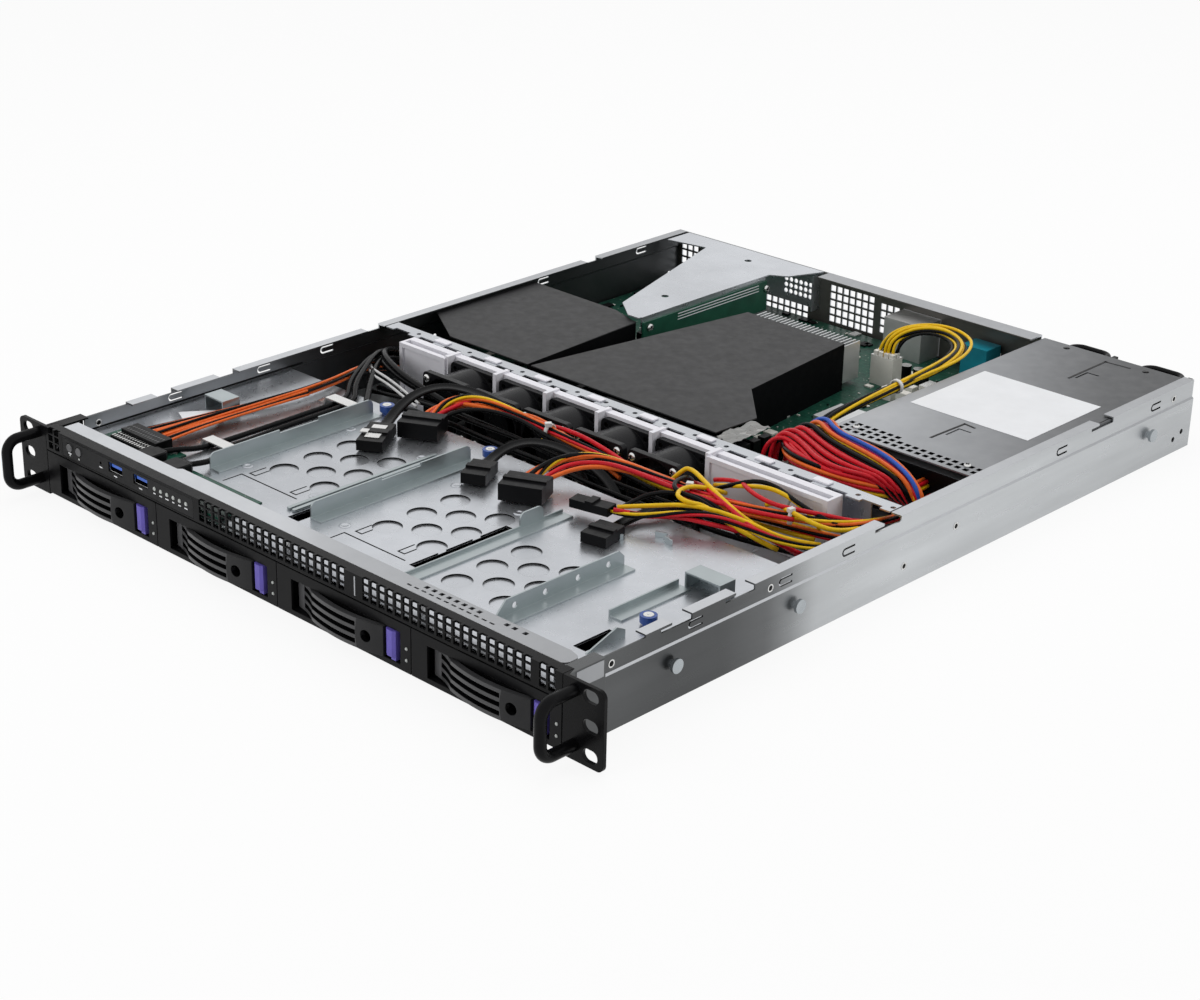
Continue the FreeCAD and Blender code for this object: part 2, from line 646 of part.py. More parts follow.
def wall_cuts():
    """Bayonet notches, lanced tongues and holes of the right wall."""
    across = (WALL_IN - WALL_FLANGE, HALF + PAST)
    cuts = [block(across, (WALL_FRONT - PAST, WALL_FRONT + LOW_WALL_LENGTH),
                  (HEIGHT - LOW_WALL_DROP, HEIGHT + PAST))]
    for depth in NOTCHES:
        cuts.append(block(across, (depth, depth + NOTCH_LENGTH), (HEIGHT - NOTCH_DEPTH, HEIGHT + PAST)))
        tail_low = HEIGHT - NOTCH_DEPTH
        cuts.append(block((WALL_IN - PAST, HALF + PAST), (depth - NOTCH_TAIL, depth),
                          (tail_low, tail_low + NOTCH_TAIL_HEIGHT)))
    sides = (WALL_IN - PAST, HALF + PAST)
    for depth in TONGUES:
        slot = stadium("x", depth, TONGUE_Z, TONGUE_LENGTH, TONGUE_HEIGHT, *sides)
        kept = stadium("x", depth + TONGUE_SLIT, TONGUE_Z, TONGUE_LENGTH,
                       TONGUE_HEIGHT - 2 * TONGUE_SLIT, *sides)
        bridge = block(sides, (depth + TONGUE_LENGTH / 4, depth + TONGUE_LENGTH),
                       (TONGUE_Z - TONGUE_HEIGHT, TONGUE_Z + TONGUE_HEIGHT))
        cuts.append(slot.cut(kept.fuse(bridge)).fuse(
            slot.cut(kept).common(block(sides, (depth, depth + TONGUE_LENGTH / 3),
                                        (TONGUE_Z - TONGUE_HEIGHT, TONGUE_Z + TONGUE_HEIGHT)))))
    for depth, height in WALL_HOLES:
        cuts.append(bar("x", depth, height, WALL_HOLE_RADIUS, *sides))
    return cuts


def standoff_places():
    """Where the main board is screwed down."""
    rows = (BOARD_FRONT + STANDOFF_INSET, (BOARD_FRONT + BOARD_REAR) / 2, BOARD_REAR - 3 * STANDOFF_INSET)
    columns = (BOARD_LEFT + STANDOFF_INSET, (BOARD_LEFT + BOARD_RIGHT) / 2, BOARD_RIGHT - STANDOFF_INSET)
    return [(x, y) for x in columns for y in rows]


def chassis_pan():
    """The floor sheet, the side walls along its edges and the main board's standoffs."""
    floor = block((SHEET - HALF, HALF - SHEET), (FLOOR_FRONT, DEPTH - SHEET), (0, SHEET))
    wall = without(prism("y", wall_profile(), WALL_FRONT, DEPTH - SHEET), wall_cuts())
    posts = [bar("z", x, y, STANDOFF_RADIUS, SHEET, BOARD_LOW) for x, y in standoff_places()]
    return [floor, wall, mirrored(wall)] + posts


def rear_panel():
    face = block((-HALF + JOG, REAR_RIGHT), (DEPTH - SHEET, DEPTH), (0, HEIGHT))
    flange = block((REAR_FLANGE_INSET - HALF, REAR_RIGHT), (DEPTH - SHEET - REAR_FLANGE, DEPTH - SHEET),
                   (TOP_LOW, HEIGHT))
    through = (DEPTH - SHEET - PAST, DEPTH + PAST)
    cuts = [block((SLOT_LEFT, SLOT_RIGHT), through, (SLOT_LOW, SLOT_HIGH))]
    for (left, low), columns, rows in zip(REAR_VENT_FIELDS, REAR_VENT_COLUMNS, REAR_VENT_ROWS):
        for column in range(columns):
            for row in range(rows):
                x = left + column * REAR_VENT_PITCH
                z = low + row * REAR_VENT_PITCH
                cuts.append(block((x, x + REAR_VENT), through, (z, z + REAR_VENT)))
    left, width, _, height = LAN_BLOCK
    cuts.append(block((left - FIT, left + width + FIT), through, (BOARD_TOP - FIT, BOARD_TOP + height + FIT)))
    middle = SERIAL_BLOCK[0] + SERIAL_BLOCK[1] / 2
    width, height, _ = SERIAL_SHELL
    low = BOARD_TOP + SERIAL_BLOCK[3] / 2 - height / 2
    cuts.append(block((middle - width / 2 - FIT, middle + width / 2 + FIT), through,
                      (low - FIT, low + height + FIT)))
    return without(joined([face, flange]), cuts)


def ear():
    """The right ear: slotted front plate, side return and a tab over the front corner."""
    inner = HALF - SHEET + RUN
    plate = block((inner, RACK_HALF), (0, EAR_SHEET), (0, HEIGHT))
    outside = RACK_HALF - EAR_CORNER
    plate = rounded(plate, "y", EAR_CORNER, lambda p: p.x > outside)
    slots = [stadium("y", RACK_HALF - EAR_SLOT_INSET, EAR_SLOT_LOW + step * EAR_SLOT_STEP, EAR_SLOT_LENGTH,
                     EAR_SLOT_HEIGHT, -PAST, EAR_SHEET + PAST) for step in range(3)]
    rear = WALL_FRONT - FIT
    side = block((inner, inner + EAR_SHEET), (0, rear), (0, HEIGHT))
    tab = block((inner + EAR_SHEET - EAR_TAB, inner + EAR_SHEET), (STRIP_FOLD + FIT, rear), (TOP_LOW, HEIGHT))
    return joined([without(plate, slots), side, tab])


def ear_handle():
    high = HANDLE_LOW + HANDLE_SPAN
    front = HANDLE_BAR / 2 - HANDLE_REACH
    points = [(HANDLE_X, 0, HANDLE_LOW), (HANDLE_X, front, HANDLE_LOW), (HANDLE_X, front, high),
              (HANDLE_X, 0, high)]
    return bent_bar(points, HANDLE_BEND, HANDLE_BAR)


def rail_stud(depth):
    shank = bar("x", depth, STUD_Z, STUD_SHANK, HALF, HALF + STUD_SHANK_LENGTH)
    head_low = HALF + STUD_SHANK_LENGTH
    head = bar("x", depth, STUD_Z, STUD_HEAD, head_low, head_low + STUD_HEAD_LENGTH)
    return shank.fuse(head)


# Front strip and operator panel

def front_grille():
    half = HALF - SHEET
    face = block((-half, half), (0, STRIP_SHEET), (STRIP_LOW, HEIGHT))
    fold = block((-half, half), (0, STRIP_FOLD), (HEIGHT - STRIP_SHEET, HEIGHT))
    through = (-PAST, STRIP_SHEET + PAST)
    cuts = [block((PANEL_LEFT - FIT, PANEL_RIGHT + FIT), through, (PANEL_LOW - FIT, PANEL_HIGH + FIT))]
    for left, columns in zip(VENT_FIELDS, VENT_COLUMNS):
        for column in range(columns):
            xs = (left + column * VENT_PITCH, left + column * VENT_PITCH + VENT)
            for row in range(VENT_ROWS):
                low = VENT_LOW + row * VENT_ROW_PITCH
                cuts.append(block(xs, through, (low, low + VENT - STRIP_SHEET / 2)))
            cuts.append(block(xs, (-PAST, VENT_WRAP), (VENT_TOP, HEIGHT + PAST)))
    return without(joined([face, fold]), cuts)


def front_top_rail():
    front = STRIP_FOLD + FIT
    rear = front + RAIL_DEPTH
    outline = [(RAIL_LEFT, front), (RAIL_RIGHT, front), (RAIL_RIGHT, rear),
               (RAIL_RIGHT - EAR_TAB, rear + RAIL_STEP),
               (RAIL_STEP_X, rear + RAIL_STEP), (RAIL_STEP_X - RAIL_STEP, rear), (RAIL_LEFT, rear)]
    strip = prism("z", outline, TOP_LOW, HEIGHT)
    corner_x = RAIL_RIGHT - PAST
    strip = rounded(strip, "z", RAIL_TAB_CORNER, lambda p: p.x > corner_x)
    cuts = []
    for index in range(DASHES):
        x = DASH_FIRST + index * DASH_PITCH
        cuts.append(block((x, x + DASH_SIZE[0]), (DASH_DEPTH, DASH_DEPTH + DASH_SIZE[1]),
                          (TOP_LOW - PAST, HEIGHT + PAST)))
    for x in SQUARES:
        cuts.append(block((x, x + SQUARE), (SQUARE_DEPTH, SQUARE_DEPTH + SQUARE),
                          (TOP_LOW - PAST, HEIGHT + PAST)))
    places = (RAIL_POST_INSET - HALF, bay_left(2), bay_left(3), HALF - RAIL_POST_INSET)
    posts = [block((x - RAIL_POST_WIDTH / 2, x + RAIL_POST_WIDTH / 2), (front, front + SHEET),
                   (CAGE_TOP, HEIGHT))
             for x in places]
    return joined([without(strip, cuts)] + posts)


def control_panel():
    """The operator panel's plate, with its button, lamp and port openings."""
    plate = block((PANEL_LEFT, PANEL_RIGHT), (0, PANEL_SHEET), (PANEL_LOW, PANEL_HIGH))
    through = (-PAST, PANEL_SHEET + PAST)
    cuts = []
    for x in BUTTONS:
        cuts.append(bar("y", x, BUTTON_Z, BUTTON_RADIUS + RUN, *through))
        cuts.append(bar("y", x, BUTTON_Z - BUTTON_LAMP_DROP, BUTTON_LAMP_RADIUS, *through))
    cuts.append(bar("y", PINHOLE_INSET - HALF, BUTTON_Z, PINHOLE_RADIUS, *through))
    for index in range(STATUS_LAMPS):
        cuts.append(bar("y", STATUS_INSET - HALF + index * STATUS_PITCH, BUTTON_Z, STATUS_RADIUS, *through))
    for x in PORTS:
        half = PORT_WIDTH / 2 + FIT
        cuts.append(block((x - half, x + half), through,
                          (PORT_Z - PORT_HEIGHT / 2 - FIT, PORT_Z + PORT_HEIGHT / 2 + FIT)))
    return without(plate, cuts)


def panel_button(x):
    """A round push button with a bevelled front rim."""
    bevel = BUTTON_PROUD / 2
    rim = -BUTTON_PROUD + bevel
    rear = BUTTON_LENGTH - BUTTON_PROUD
    tip = Part.makeCone(BUTTON_RADIUS - bevel, BUTTON_RADIUS, bevel, Vector(x, -BUTTON_PROUD, BUTTON_Z),
                        AXES["y"])
    return tip.fuse(bar("y", x, BUTTON_Z, BUTTON_RADIUS, rim, rear))


def usb_port(x):
    half = PORT_WIDTH / 2
    low = PORT_Z - PORT_HEIGHT / 2
    high = PORT_Z + PORT_HEIGHT / 2
    front = PANEL_SHEET / 2
    rear = front + PORT_LENGTH
    shell = block((x - half, x + half), (front, rear), (low, high))
    room = block((x - half + PORT_SHELL, x + half - PORT_SHELL), (front - PAST, rear - PORT_SHELL),
                 (low + PORT_SHELL, high - PORT_SHELL))
    top = high - PORT_SHELL - PORT_SHELL
    tongue = block((x - PORT_TONGUE_WIDTH / 2, x + PORT_TONGUE_WIDTH / 2), (front + PORT_SHELL, rear),
                   (top - PORT_TONGUE, top))
    return joined([shell.cut(room), tongue])


def front_panel_board():
    low = CAGE_TOP + BOARD_LIFT
    outline = [(PANEL_BOARD_LEFT, PANEL_BOARD_FRONT), (PANEL_BOARD_RIGHT, PANEL_BOARD_FRONT),
               (PANEL_BOARD_RIGHT, PANEL_BOARD_REAR), (PANEL_BOARD_SPLIT, PANEL_BOARD_REAR),
               (PANEL_BOARD_SPLIT, PANEL_BOARD_LONG), (PANEL_BOARD_LEFT, PANEL_BOARD_LONG)]
    board = prism("z", outline, low, PANEL_BOARD_TOP)
    header_rear = HEADER_FRONT + HEADER_LENGTH
    header_top = PANEL_BOARD_TOP + HEADER_HEIGHT
    xs = (HEADER_LEFT, HEADER_LEFT + HEADER_WIDTH)
    header = block(xs, (HEADER_FRONT, header_rear), (PANEL_BOARD_TOP, header_top))
    header = header.cut(block((xs[0] - PAST, xs[1] + PAST), (HEADER_FRONT - PAST, HEADER_FRONT + HEADER_STEP),
                              (header_top - HEADER_HEIGHT / 3, header_top + PAST)))
    feet = []
    for x in (PANEL_BOARD_LEFT + 2 * FOOT_RADIUS, PANEL_BOARD_SPLIT, PANEL_BOARD_RIGHT - 2 * FOOT_RADIUS):
        feet.append(bar("z", x, PANEL_BOARD_REAR - 2 * FOOT_RADIUS, FOOT_RADIUS, CAGE_TOP, low))
    switch_front = PANEL_BOARD_FRONT
    switches = [block((x - BUTTON_RADIUS, x + BUTTON_RADIUS), (switch_front, switch_front + BUTTON_LENGTH),
                      (PANEL_BOARD_TOP, BUTTON_Z + BUTTON_RADIUS)) for x in BUTTONS]
    return [joined([board] + feet), header] + switches


# Drive bays

def cage_lance(x, y, through):
    """A U-shaped slit that frees a small tongue of the plate."""
    reach = (CAGE_LANCE_WIDTH + CAGE_LANCE_SLIT) / 2
    outer = block((x - reach, x + reach), (y, y + CAGE_LANCE_LENGTH), through)
    tongue = block((x - reach + CAGE_LANCE_SLIT, x + reach - CAGE_LANCE_SLIT),
                   (y + CAGE_LANCE_SLIT, y + CAGE_LANCE_LENGTH), through)
    return outer.cut(tongue)


def cage_seam(left, front, rear, right, through):
    """An L-shaped slit beside a device's place."""
    side = block((left, left + CAGE_LANCE_SLIT), (front, rear), through)
    return side.fuse(block((left, right), (rear, rear + CAGE_LANCE_SLIT), through))


def drive_cage():
    """The plate over the drive bays, the bays' own roof under it, and the walls between the bays."""
    half = WALL_IN - RUN
    plate = block((-half, half), (PANEL_SHEET + FIT, CAGE_REAR), (CAGE_LOW, CAGE_TOP))
    roof_low = CAGE_LOW - ROOF_SHEET
    roof = block((-half, half), (BEZEL_DEPTH + RUN, CAGE_DIVIDER_REAR), (roof_low, CAGE_LOW))
    through = (roof_low - PAST, CAGE_TOP + PAST)
    windows = [block(window[:2], window[2:], through) for window in CAGE_WINDOWS + (CAGE_CORNER,)]
    cuts = windows + [cage_lance(x, y, through) for x, y in CAGE_LANCES]
    cuts.extend(cage_seam(*seam, through) for seam in CAGE_SEAMS)
    for x, y in CAGE_FIELDS:
        for column in (-1, 0, 1):
            rows = 2 if column == 0 else 3
            offset = CAGE_VENT_STEP_Y / 2 if column == 0 else 0
            for row in range(rows):
                cuts.append(bar("z", x + column * CAGE_VENT_STEP_X, y + offset + row * CAGE_VENT_STEP_Y,
                                CAGE_VENT_RADIUS, *through))
    dividers = []
    for index in range(1, BAYS):
        x = -HALF + SHEET + index * BAY
        dividers.append(block((x - SHEET / 2, x + SHEET / 2), (BEZEL_DEPTH + RUN, CAGE_DIVIDER_REAR),
                              (SHEET + FIT, roof_low)))
    return [without(plate, cuts), without(roof, windows)] + dividers


def rail_on_foot(x, outline, front, rear):
    """An upright sheet with the given side outline, on a foot flange to its right."""
    foot = block((x, x + RAIL_BASE), (front, rear), (CAGE_TOP, CAGE_TOP + SHEET))
    return joined([prism("x", outline, x, x + SHEET), foot])


def device_rail(x, front, rear):
    """A tall rail with rounded upper corners and a shallow notch along its top edge."""
    top = CAGE_TOP + RAIL_HEIGHT
    start = front + RAIL_NOTCH_START
    stop = start + RAIL_NOTCH_LENGTH
    outline = [(front, CAGE_TOP), (rear, CAGE_TOP), (rear, top), (stop, top), (stop, top - RAIL_NOTCH_DEPTH),
               (start, top - RAIL_NOTCH_DEPTH), (start, top), (front, top)]
    rail = rail_on_foot(x, outline, front, rear)
    ends = (front + PAST, rear - PAST)
    return rounded(rail, "x", RAIL_CORNER, lambda p: p.z > top - PAST and not ends[0] < p.y < ends[1])


def low_rail():
    """A low strip with an upright tab near its rear end and a bent hook in front."""
    x, front, rear = LOW_RAIL
    top = CAGE_TOP + LOW_RAIL_HEIGHT
    tab_front, tab_rear = LOW_RAIL_TAB
    tab_top = CAGE_TOP + RAIL_HEIGHT
    outline = [(front, CAGE_TOP), (rear, CAGE_TOP), (rear, top), (tab_rear, top), (tab_rear, tab_top),
               (tab_front, tab_top), (tab_front, top), (front, top)]
    rail = rail_on_foot(x, outline, front, rear)
    rail = rounded(rail, "x", RAIL_CORNER, lambda p: p.z > tab_top - PAST)
    hook_left, hook_front, hook_height = LOW_RAIL_HOOK
    base = block((hook_left, x + SHEET), (hook_front, front), (CAGE_TOP, CAGE_TOP + SHEET))
    lip = block((hook_left, x + SHEET), (hook_front, hook_front + SHEET), (CAGE_TOP, CAGE_TOP + hook_height))
    return joined([rail, base, lip])


def side_rail():
    """A tall rail with sloping ends and a row of holes."""
    x, front, rear = SIDE_RAIL
    top = CAGE_TOP + RAIL_HEIGHT
    outline = [(front, CAGE_TOP), (rear, CAGE_TOP), (rear, top - SIDE_RAIL_CHAMFERS[1]),
               (rear - SIDE_RAIL_CHAMFERS[1], top), (front + SIDE_RAIL_CHAMFERS[0], top),
               (front, top - SIDE_RAIL_CHAMFERS[0])]
    holes = [bar("x", y, CAGE_TOP + RAIL_HEIGHT / 2, SIDE_RAIL_HOLE, x - PAST, x + SHEET + PAST)
             for y in SIDE_RAIL_HOLES]
    return without(rail_on_foot(x, outline, front, rear), holes)


def short_rail():
    """A low rail in front of the right stop."""
    x, front, rear = SHORT_RAIL
    top = CAGE_TOP + SHORT_RAIL_HEIGHT
    return rail_on_foot(x, [(front, CAGE_TOP), (rear, CAGE_TOP), (rear, top), (front, top)], front, rear)


def corner_flap():
    """A sloping flap bent up beside the corner cut-out."""
    x, front, peak, rear = FLAP
    outline = [(front, CAGE_TOP), (rear, CAGE_TOP), (rear, CAGE_TOP + FLAP_HEIGHTS[1]),
               (peak, CAGE_TOP + FLAP_HEIGHTS[0])]
    return prism("x", outline, x, x + SHEET)


def device_stop(left, right, front, rear):
    """A folded stop block, open underneath."""
    top = CAGE_TOP + STOP_HEIGHT
    outer = block((left, right), (front, rear), (CAGE_TOP, top))
    inner = block((left + SHEET, right - SHEET), (front - PAST, rear - SHEET), (CAGE_TOP - PAST, top - SHEET))
    return outer.cut(inner)


def thumbscrew(x, y):
    collar = bar("z", x, y, KNOB_COLLAR, CAGE_TOP, CAGE_TOP + KNOB_COLLAR_HEIGHT)
    low = CAGE_TOP + KNOB_COLLAR_HEIGHT
    return collar.fuse(bar("z", x, y, KNOB_RADIUS, low, low + KNOB_HEIGHT))


def cable_strap(x, y):
    """A flat clip over the cables beside the first rail, with a foot at each end."""
    half = STRAP_SPAN / 2
    low = CAGE_TOP
    high = CAGE_TOP + STRAP_RISE
    under = high - STRAP_SHEET
    bend = half - STRAP_RISE / 2
    outline = [(x - half - STRAP_FOOT, low), (x - half, low), (x - bend, under), (x + bend, under),
               (x + half - STRAP_SHEET, low), (x + half, low), (x + bend + STRAP_SHEET, high),
               (x - bend - STRAP_SHEET, high), (x - half - STRAP_SHEET, low + STRAP_SHEET),
               (x - half - STRAP_FOOT, low + STRAP_SHEET)]
    return prism("y", outline, y - STRAP_WIDTH / 2, y + STRAP_WIDTH / 2)


def bay_left(index):
    """The left side of a carrier's place."""
    return -HALF + SHEET + index * BAY


def carrier(index):
    """A drive tray: a black bezel with a pocket for its lever, an open floor sheet and two side rails."""
    left = bay_left(index)
    right = left + BAY
    xs = (left + CARRIER_GAP, right - CARRIER_GAP)
    bezel = block(xs, (0, BEZEL_DEPTH), (CARRIER_LOW, CARRIER_TOP))
    low = CARRIER_LOW + POCKET_LOW
    pocket_zs = (low, low + POCKET_HEIGHT)
    pocket = block((left + PAD_RIGHT, left + POCKET_RIGHT), (-PAST, POCKET_DEPTH), pocket_zs)
    heel = block((left + POCKET_LEFT, left + PAD_RIGHT), (PAD_SHEET, POCKET_DEPTH), pocket_zs)
    cuts = [pocket.fuse(heel)]
    pitch = POCKET_HEIGHT / CARRIER_VENTS
    for vent in range(CARRIER_VENTS):
        middle = low + (vent + 0.5) * pitch
        cuts.append(block((left + POCKET_LEFT + CARRIER_VENT_MARGIN, left + LATCH_LEFT - CARRIER_VENT_MARGIN),
                          (POCKET_DEPTH, BEZEL_DEPTH + PAST),
                          (middle - CARRIER_VENT_HEIGHT / 2, middle + CARRIER_VENT_HEIGHT / 2)))
    for height in LAMP_HEIGHTS:
        cuts.append(bar("y", left + LAMP_OFFSET, CARRIER_LOW + height, LAMP_RADIUS, -PAST, POCKET_DEPTH))
    pin = bar("z", left + PIVOT_OFFSET, PIVOT_DEPTH, PIVOT_PIN, *pocket_zs)
    tray_xs = (left + TRAY_SIDE_GAP, right - TRAY_SIDE_GAP)
    tray_ys = (BEZEL_DEPTH, BEZEL_DEPTH + TRAY_LENGTH)
    floor = block(tray_xs, tray_ys, (CARRIER_LOW, CARRIER_LOW + TRAY_SHEET))
    border = TRAY_WINDOW_BORDER
    window = block((tray_xs[0] + border, tray_xs[1] - border), (tray_ys[0] + border, tray_ys[1] - border),
                   (CARRIER_LOW - PAST, CARRIER_LOW + TRAY_SHEET + PAST))
    rails = [block((x, x + TRAY_SHEET), tray_ys, (CARRIER_LOW + TRAY_SHEET, CARRIER_LOW + TRAY_RAIL))
             for x in (tray_xs[0], tray_xs[1] - TRAY_SHEET)]
    for tool in cuts:
        bezel = bezel.cut(tool)
    return [joined([bezel, pin]), floor.cut(window)] + rails


def lever_outline(left):
    """The lever seen from above: a front of two arcs, the same arcs behind it and square ends."""
    front = [Vector(left + x, y, 0) for x, y in LEVER_FRONT]
    back = [point + Vector(0, LEVER_SHEET, 0) for point in front]
    edges = [Part.Arc(*front[0:3]).toShape(), Part.Arc(*front[2:5]).toShape(),
             Part.LineSegment(front[4], back[4]).toShape(), Part.Arc(*back[4:1:-1]).toShape(),
             Part.Arc(*back[2::-1]).toShape(), Part.LineSegment(back[0], front[0]).toShape()]
    return Part.Face(Part.Wire(edges))


def carrier_lever(index):
    """The pull lever: a bowed plate with long slots, an eye and a hinge barrel."""
    left = bay_left(index)
    low = CARRIER_LOW + POCKET_LOW + LEVER_GAP
    height = POCKET_HEIGHT - 2 * LEVER_GAP
    plate = lever_outline(left)
    plate.translate(Vector(0, 0, low))
    plate = plate.extrude(Vector(0, 0, height))
    barrel = bar("z", left + PIVOT_OFFSET, PIVOT_DEPTH, PIVOT_BARREL, low, low + height)
    bore = bar("z", left + PIVOT_OFFSET, PIVOT_DEPTH, PIVOT_PIN + PIVOT_PLAY, low - PAST, low + height + PAST)
    slots = []
    through = (-2 * PIVOT_DEPTH, 2 * PIVOT_DEPTH)
    slot_height = (height - LEVER_RIBS * LEVER_RIB) / (LEVER_RIBS - 1)
    for gap in range(LEVER_RIBS - 1):
        slot_low = low + LEVER_RIB + gap * (slot_height + LEVER_RIB)
        slots.append(block((left + LEVER_SLOT_LEFT, left + LEVER_SLOT_RIGHT), through,
                           (slot_low, slot_low + slot_height)))
    slots.append(bar("y", left + LEVER_EYE_OFFSET, low + height / 2, LEVER_EYE_RADIUS, *through))
    return without(plate, slots).fuse(barrel).cut(bore).removeSplitter()


def carrier_latch(index):
    """The release catch: a thumb block with a lip along its foot."""
    left = bay_left(index) + LATCH_LEFT
    low = CARRIER_LOW + POCKET_LOW + LEVER_GAP
    high = CARRIER_LOW + POCKET_LOW + POCKET_HEIGHT - LEVER_GAP
    rear = POCKET_DEPTH - RUN
    outline = [(left, LATCH_FRONT + LATCH_STEP), (left + LATCH_WIDTH / 4, LATCH_FRONT),
               (left + LATCH_WIDTH * 3 / 4, LATCH_FRONT), (left + LATCH_WIDTH, LATCH_FRONT + LATCH_STEP),
               (left + LATCH_WIDTH, rear), (left, rear)]
    thumb = prism("z", outline, low + LATCH_LIP, high)
    foot = block((left + LATCH_WIDTH / 2, left + LATCH_WIDTH), (LATCH_FRONT + LATCH_STEP, rear),
                 (low, low + LATCH_LIP))
    return joined([thumb, foot])


def drive_backplane():
    """The upright board behind the trays, with a socket for each tray and cable sockets behind."""
    half = WALL_IN - RUN
    ys = (BACKPLANE_FRONT, BACKPLANE_FRONT + BACKPLANE_SHEET)
    board = block((-half, half), ys, (SHEET + FIT, CAGE_LOW - FIT))
    sockets = []
    for index in range(BAYS):
        middle = bay_left(index) + BAY / 2
        sockets.append(block((middle - SOCKET_WIDTH / 2, middle + SOCKET_WIDTH / 2),
                             (BACKPLANE_FRONT - SOCKET_DEPTH, BACKPLANE_FRONT),
                             (CARRIER_LOW + TRAY_SHEET, CARRIER_LOW + TRAY_SHEET + SOCKET_HEIGHT)))
    for route in (SATA_ROUTE_1, SATA_ROUTE_2, SATA_ROUTE_3):
        end_x, end_y, end_z = route[-1]
        width, height = DATA_SOCKET
        sockets.append(block((end_x - width / 2, end_x + width / 2), (ys[1], end_y),
                             (end_z - height / 2, end_z + height / 2)))
    return [board] + sockets


# Fan wall

def fan_x(index):
    return FAN_FIRST_X + index * FAN_PITCH


def fan_flange(x, front):
    """A square fan flange with rounded corners and four screw holes."""
    half = FAN_SIZE / 2
    plate = block((x - half, x + half), (front, front + FAN_FLANGE), (FAN_Z - half, FAN_Z + half))
    plate = rounded(plate, "y", FAN_CORNER, lambda p: True)
    through = (front - PAST, front + FAN_FLANGE + PAST)
    holes = [bar("y", x + i * FAN_SCREW, FAN_Z + j * FAN_SCREW, FAN_SCREW_RADIUS, *through)
             for i in (-1, 1) for j in (-1, 1)]
    return without(plate, holes)


def fan_frame(index):
    """A fan frame: two flanges, the duct between them, and the motor plate on its struts."""
    x = fan_x(index)
    duct = bar("y", x, FAN_Z, FAN_BORE + FAN_WALL, FAN_FRONT + FAN_FLANGE, FAN_REAR - FAN_FLANGE)
    shell = joined([fan_flange(x, FAN_FRONT), duct, fan_flange(x, FAN_REAR - FAN_FLANGE)])
    shell = shell.cut(bar("y", x, FAN_Z, FAN_BORE, FAN_FRONT - PAST, FAN_REAR + PAST))
    back = (FAN_REAR - FAN_BACK, FAN_REAR)
    motor = bar("y", x, FAN_Z, FAN_HUB, *back)
    level = block((x - FAN_BORE, x + FAN_BORE), back, (FAN_Z - FAN_STRUT / 2, FAN_Z + FAN_STRUT / 2))
    upright = block((x - FAN_STRUT / 2, x + FAN_STRUT / 2), back, (FAN_Z - FAN_BORE, FAN_Z + FAN_BORE))
    return joined([shell, motor, level, upright])


def blade_section(radius, pitch):
    """The blade's edge outline at one radius, on the flat plane that touches that radius."""
    half_chord = BLADE_SPAN_Y / 2 / math.sin(math.radians(pitch))
    half_sheet = BLADE_SHEET / 2
    turn = math.radians(pitch)
    corners = []
    for along, across in ((-1, -1), (1, -1), (1, 1), (-1, 1)):
        a = along * half_chord
        b = across * half_sheet
        corners.append(Vector(a * math.cos(turn) - b * math.sin(turn),
                              a * math.sin(turn) + b * math.cos(turn), radius))
    return Part.makePolygon(corners + corners[:1])


def fan_rotor(index):
    """A hub with twisted blades; they turn about the fan's axis, which runs front to rear."""
    x = fan_x(index)
    front = FAN_FRONT + FAN_FLANGE / 2
    rear = FAN_REAR - FAN_BACK - RUN
    hub = bar("y", x, FAN_Z, FAN_HUB, front, rear)
    tip = FAN_BORE - BLADE_TIP_GAP
    middle = (front + rear) / 2
    reach = bar("y", 0, 0, tip, -FAN_DEPTH, FAN_DEPTH)
    blade = Part.makeLoft([blade_section(FAN_HUB / 2, BLADE_PITCH_ROOT),
                           blade_section(tip + BLADE_OVERRUN, BLADE_PITCH_TIP)],
                          True, True).common(reach)
    blades = []
    for turn in range(BLADES):
        copy = blade.copy()
        copy.rotate(Vector(0, 0, 0), Vector(0, 1, 0), 360 / BLADES * turn)
        copy.translate(Vector(x, middle, FAN_Z))
        blades.append(copy)
    return joined([hub] + blades)


def fan_housing():
    """The white fan carrier: a top bar, clips between the fans and a blank panel at each end."""
    rear = HOUSING_FRONT + HOUSING_BAR
    low = SHEET + FIT
    top = HEIGHT - FIT
    bar_low = FAN_Z + FAN_SIZE / 2 + FIT
    pieces = [block((HOUSING_LEFT, HOUSING_RIGHT), (HOUSING_FRONT, rear), (top - HOUSING_BAR_HEIGHT, top))]
    half = HOUSING_CLIP / 2
    for index in range(FANS + 1):
        x = fan_x(index) - FAN_PITCH / 2
        pieces.append(block((x - half, x + half), (rear - HOUSING_CLIP_LENGTH, rear),
                            (low, bar_low + HOUSING_CLIP)))
    first = fan_x(0) - FAN_PITCH / 2
    last = fan_x(FANS) - FAN_PITCH / 2
    front = rear - HOUSING_CLIP_LENGTH
    for left, right in ((HOUSING_LEFT, first), (last, HOUSING_RIGHT)):
        panel = block((left, right), (front, front + HOUSING_PANEL), (low, top))
        rim = block((left, right), (front - HOUSING_RIM_PROUD, front), (low, top))
        rim = rim.cut(block((left + HOUSING_RIM, right - HOUSING_RIM), (front - HOUSING_PANEL, front),
                            (low + HOUSING_RIM, top - HOUSING_RIM)))
        cheek = HOUSING_PANEL
        sides = [block((x, x + cheek), (front, rear), (low, top)) for x in (left, right - cheek)]
        pieces.extend([panel, rim] + sides)
    return joined(pieces)


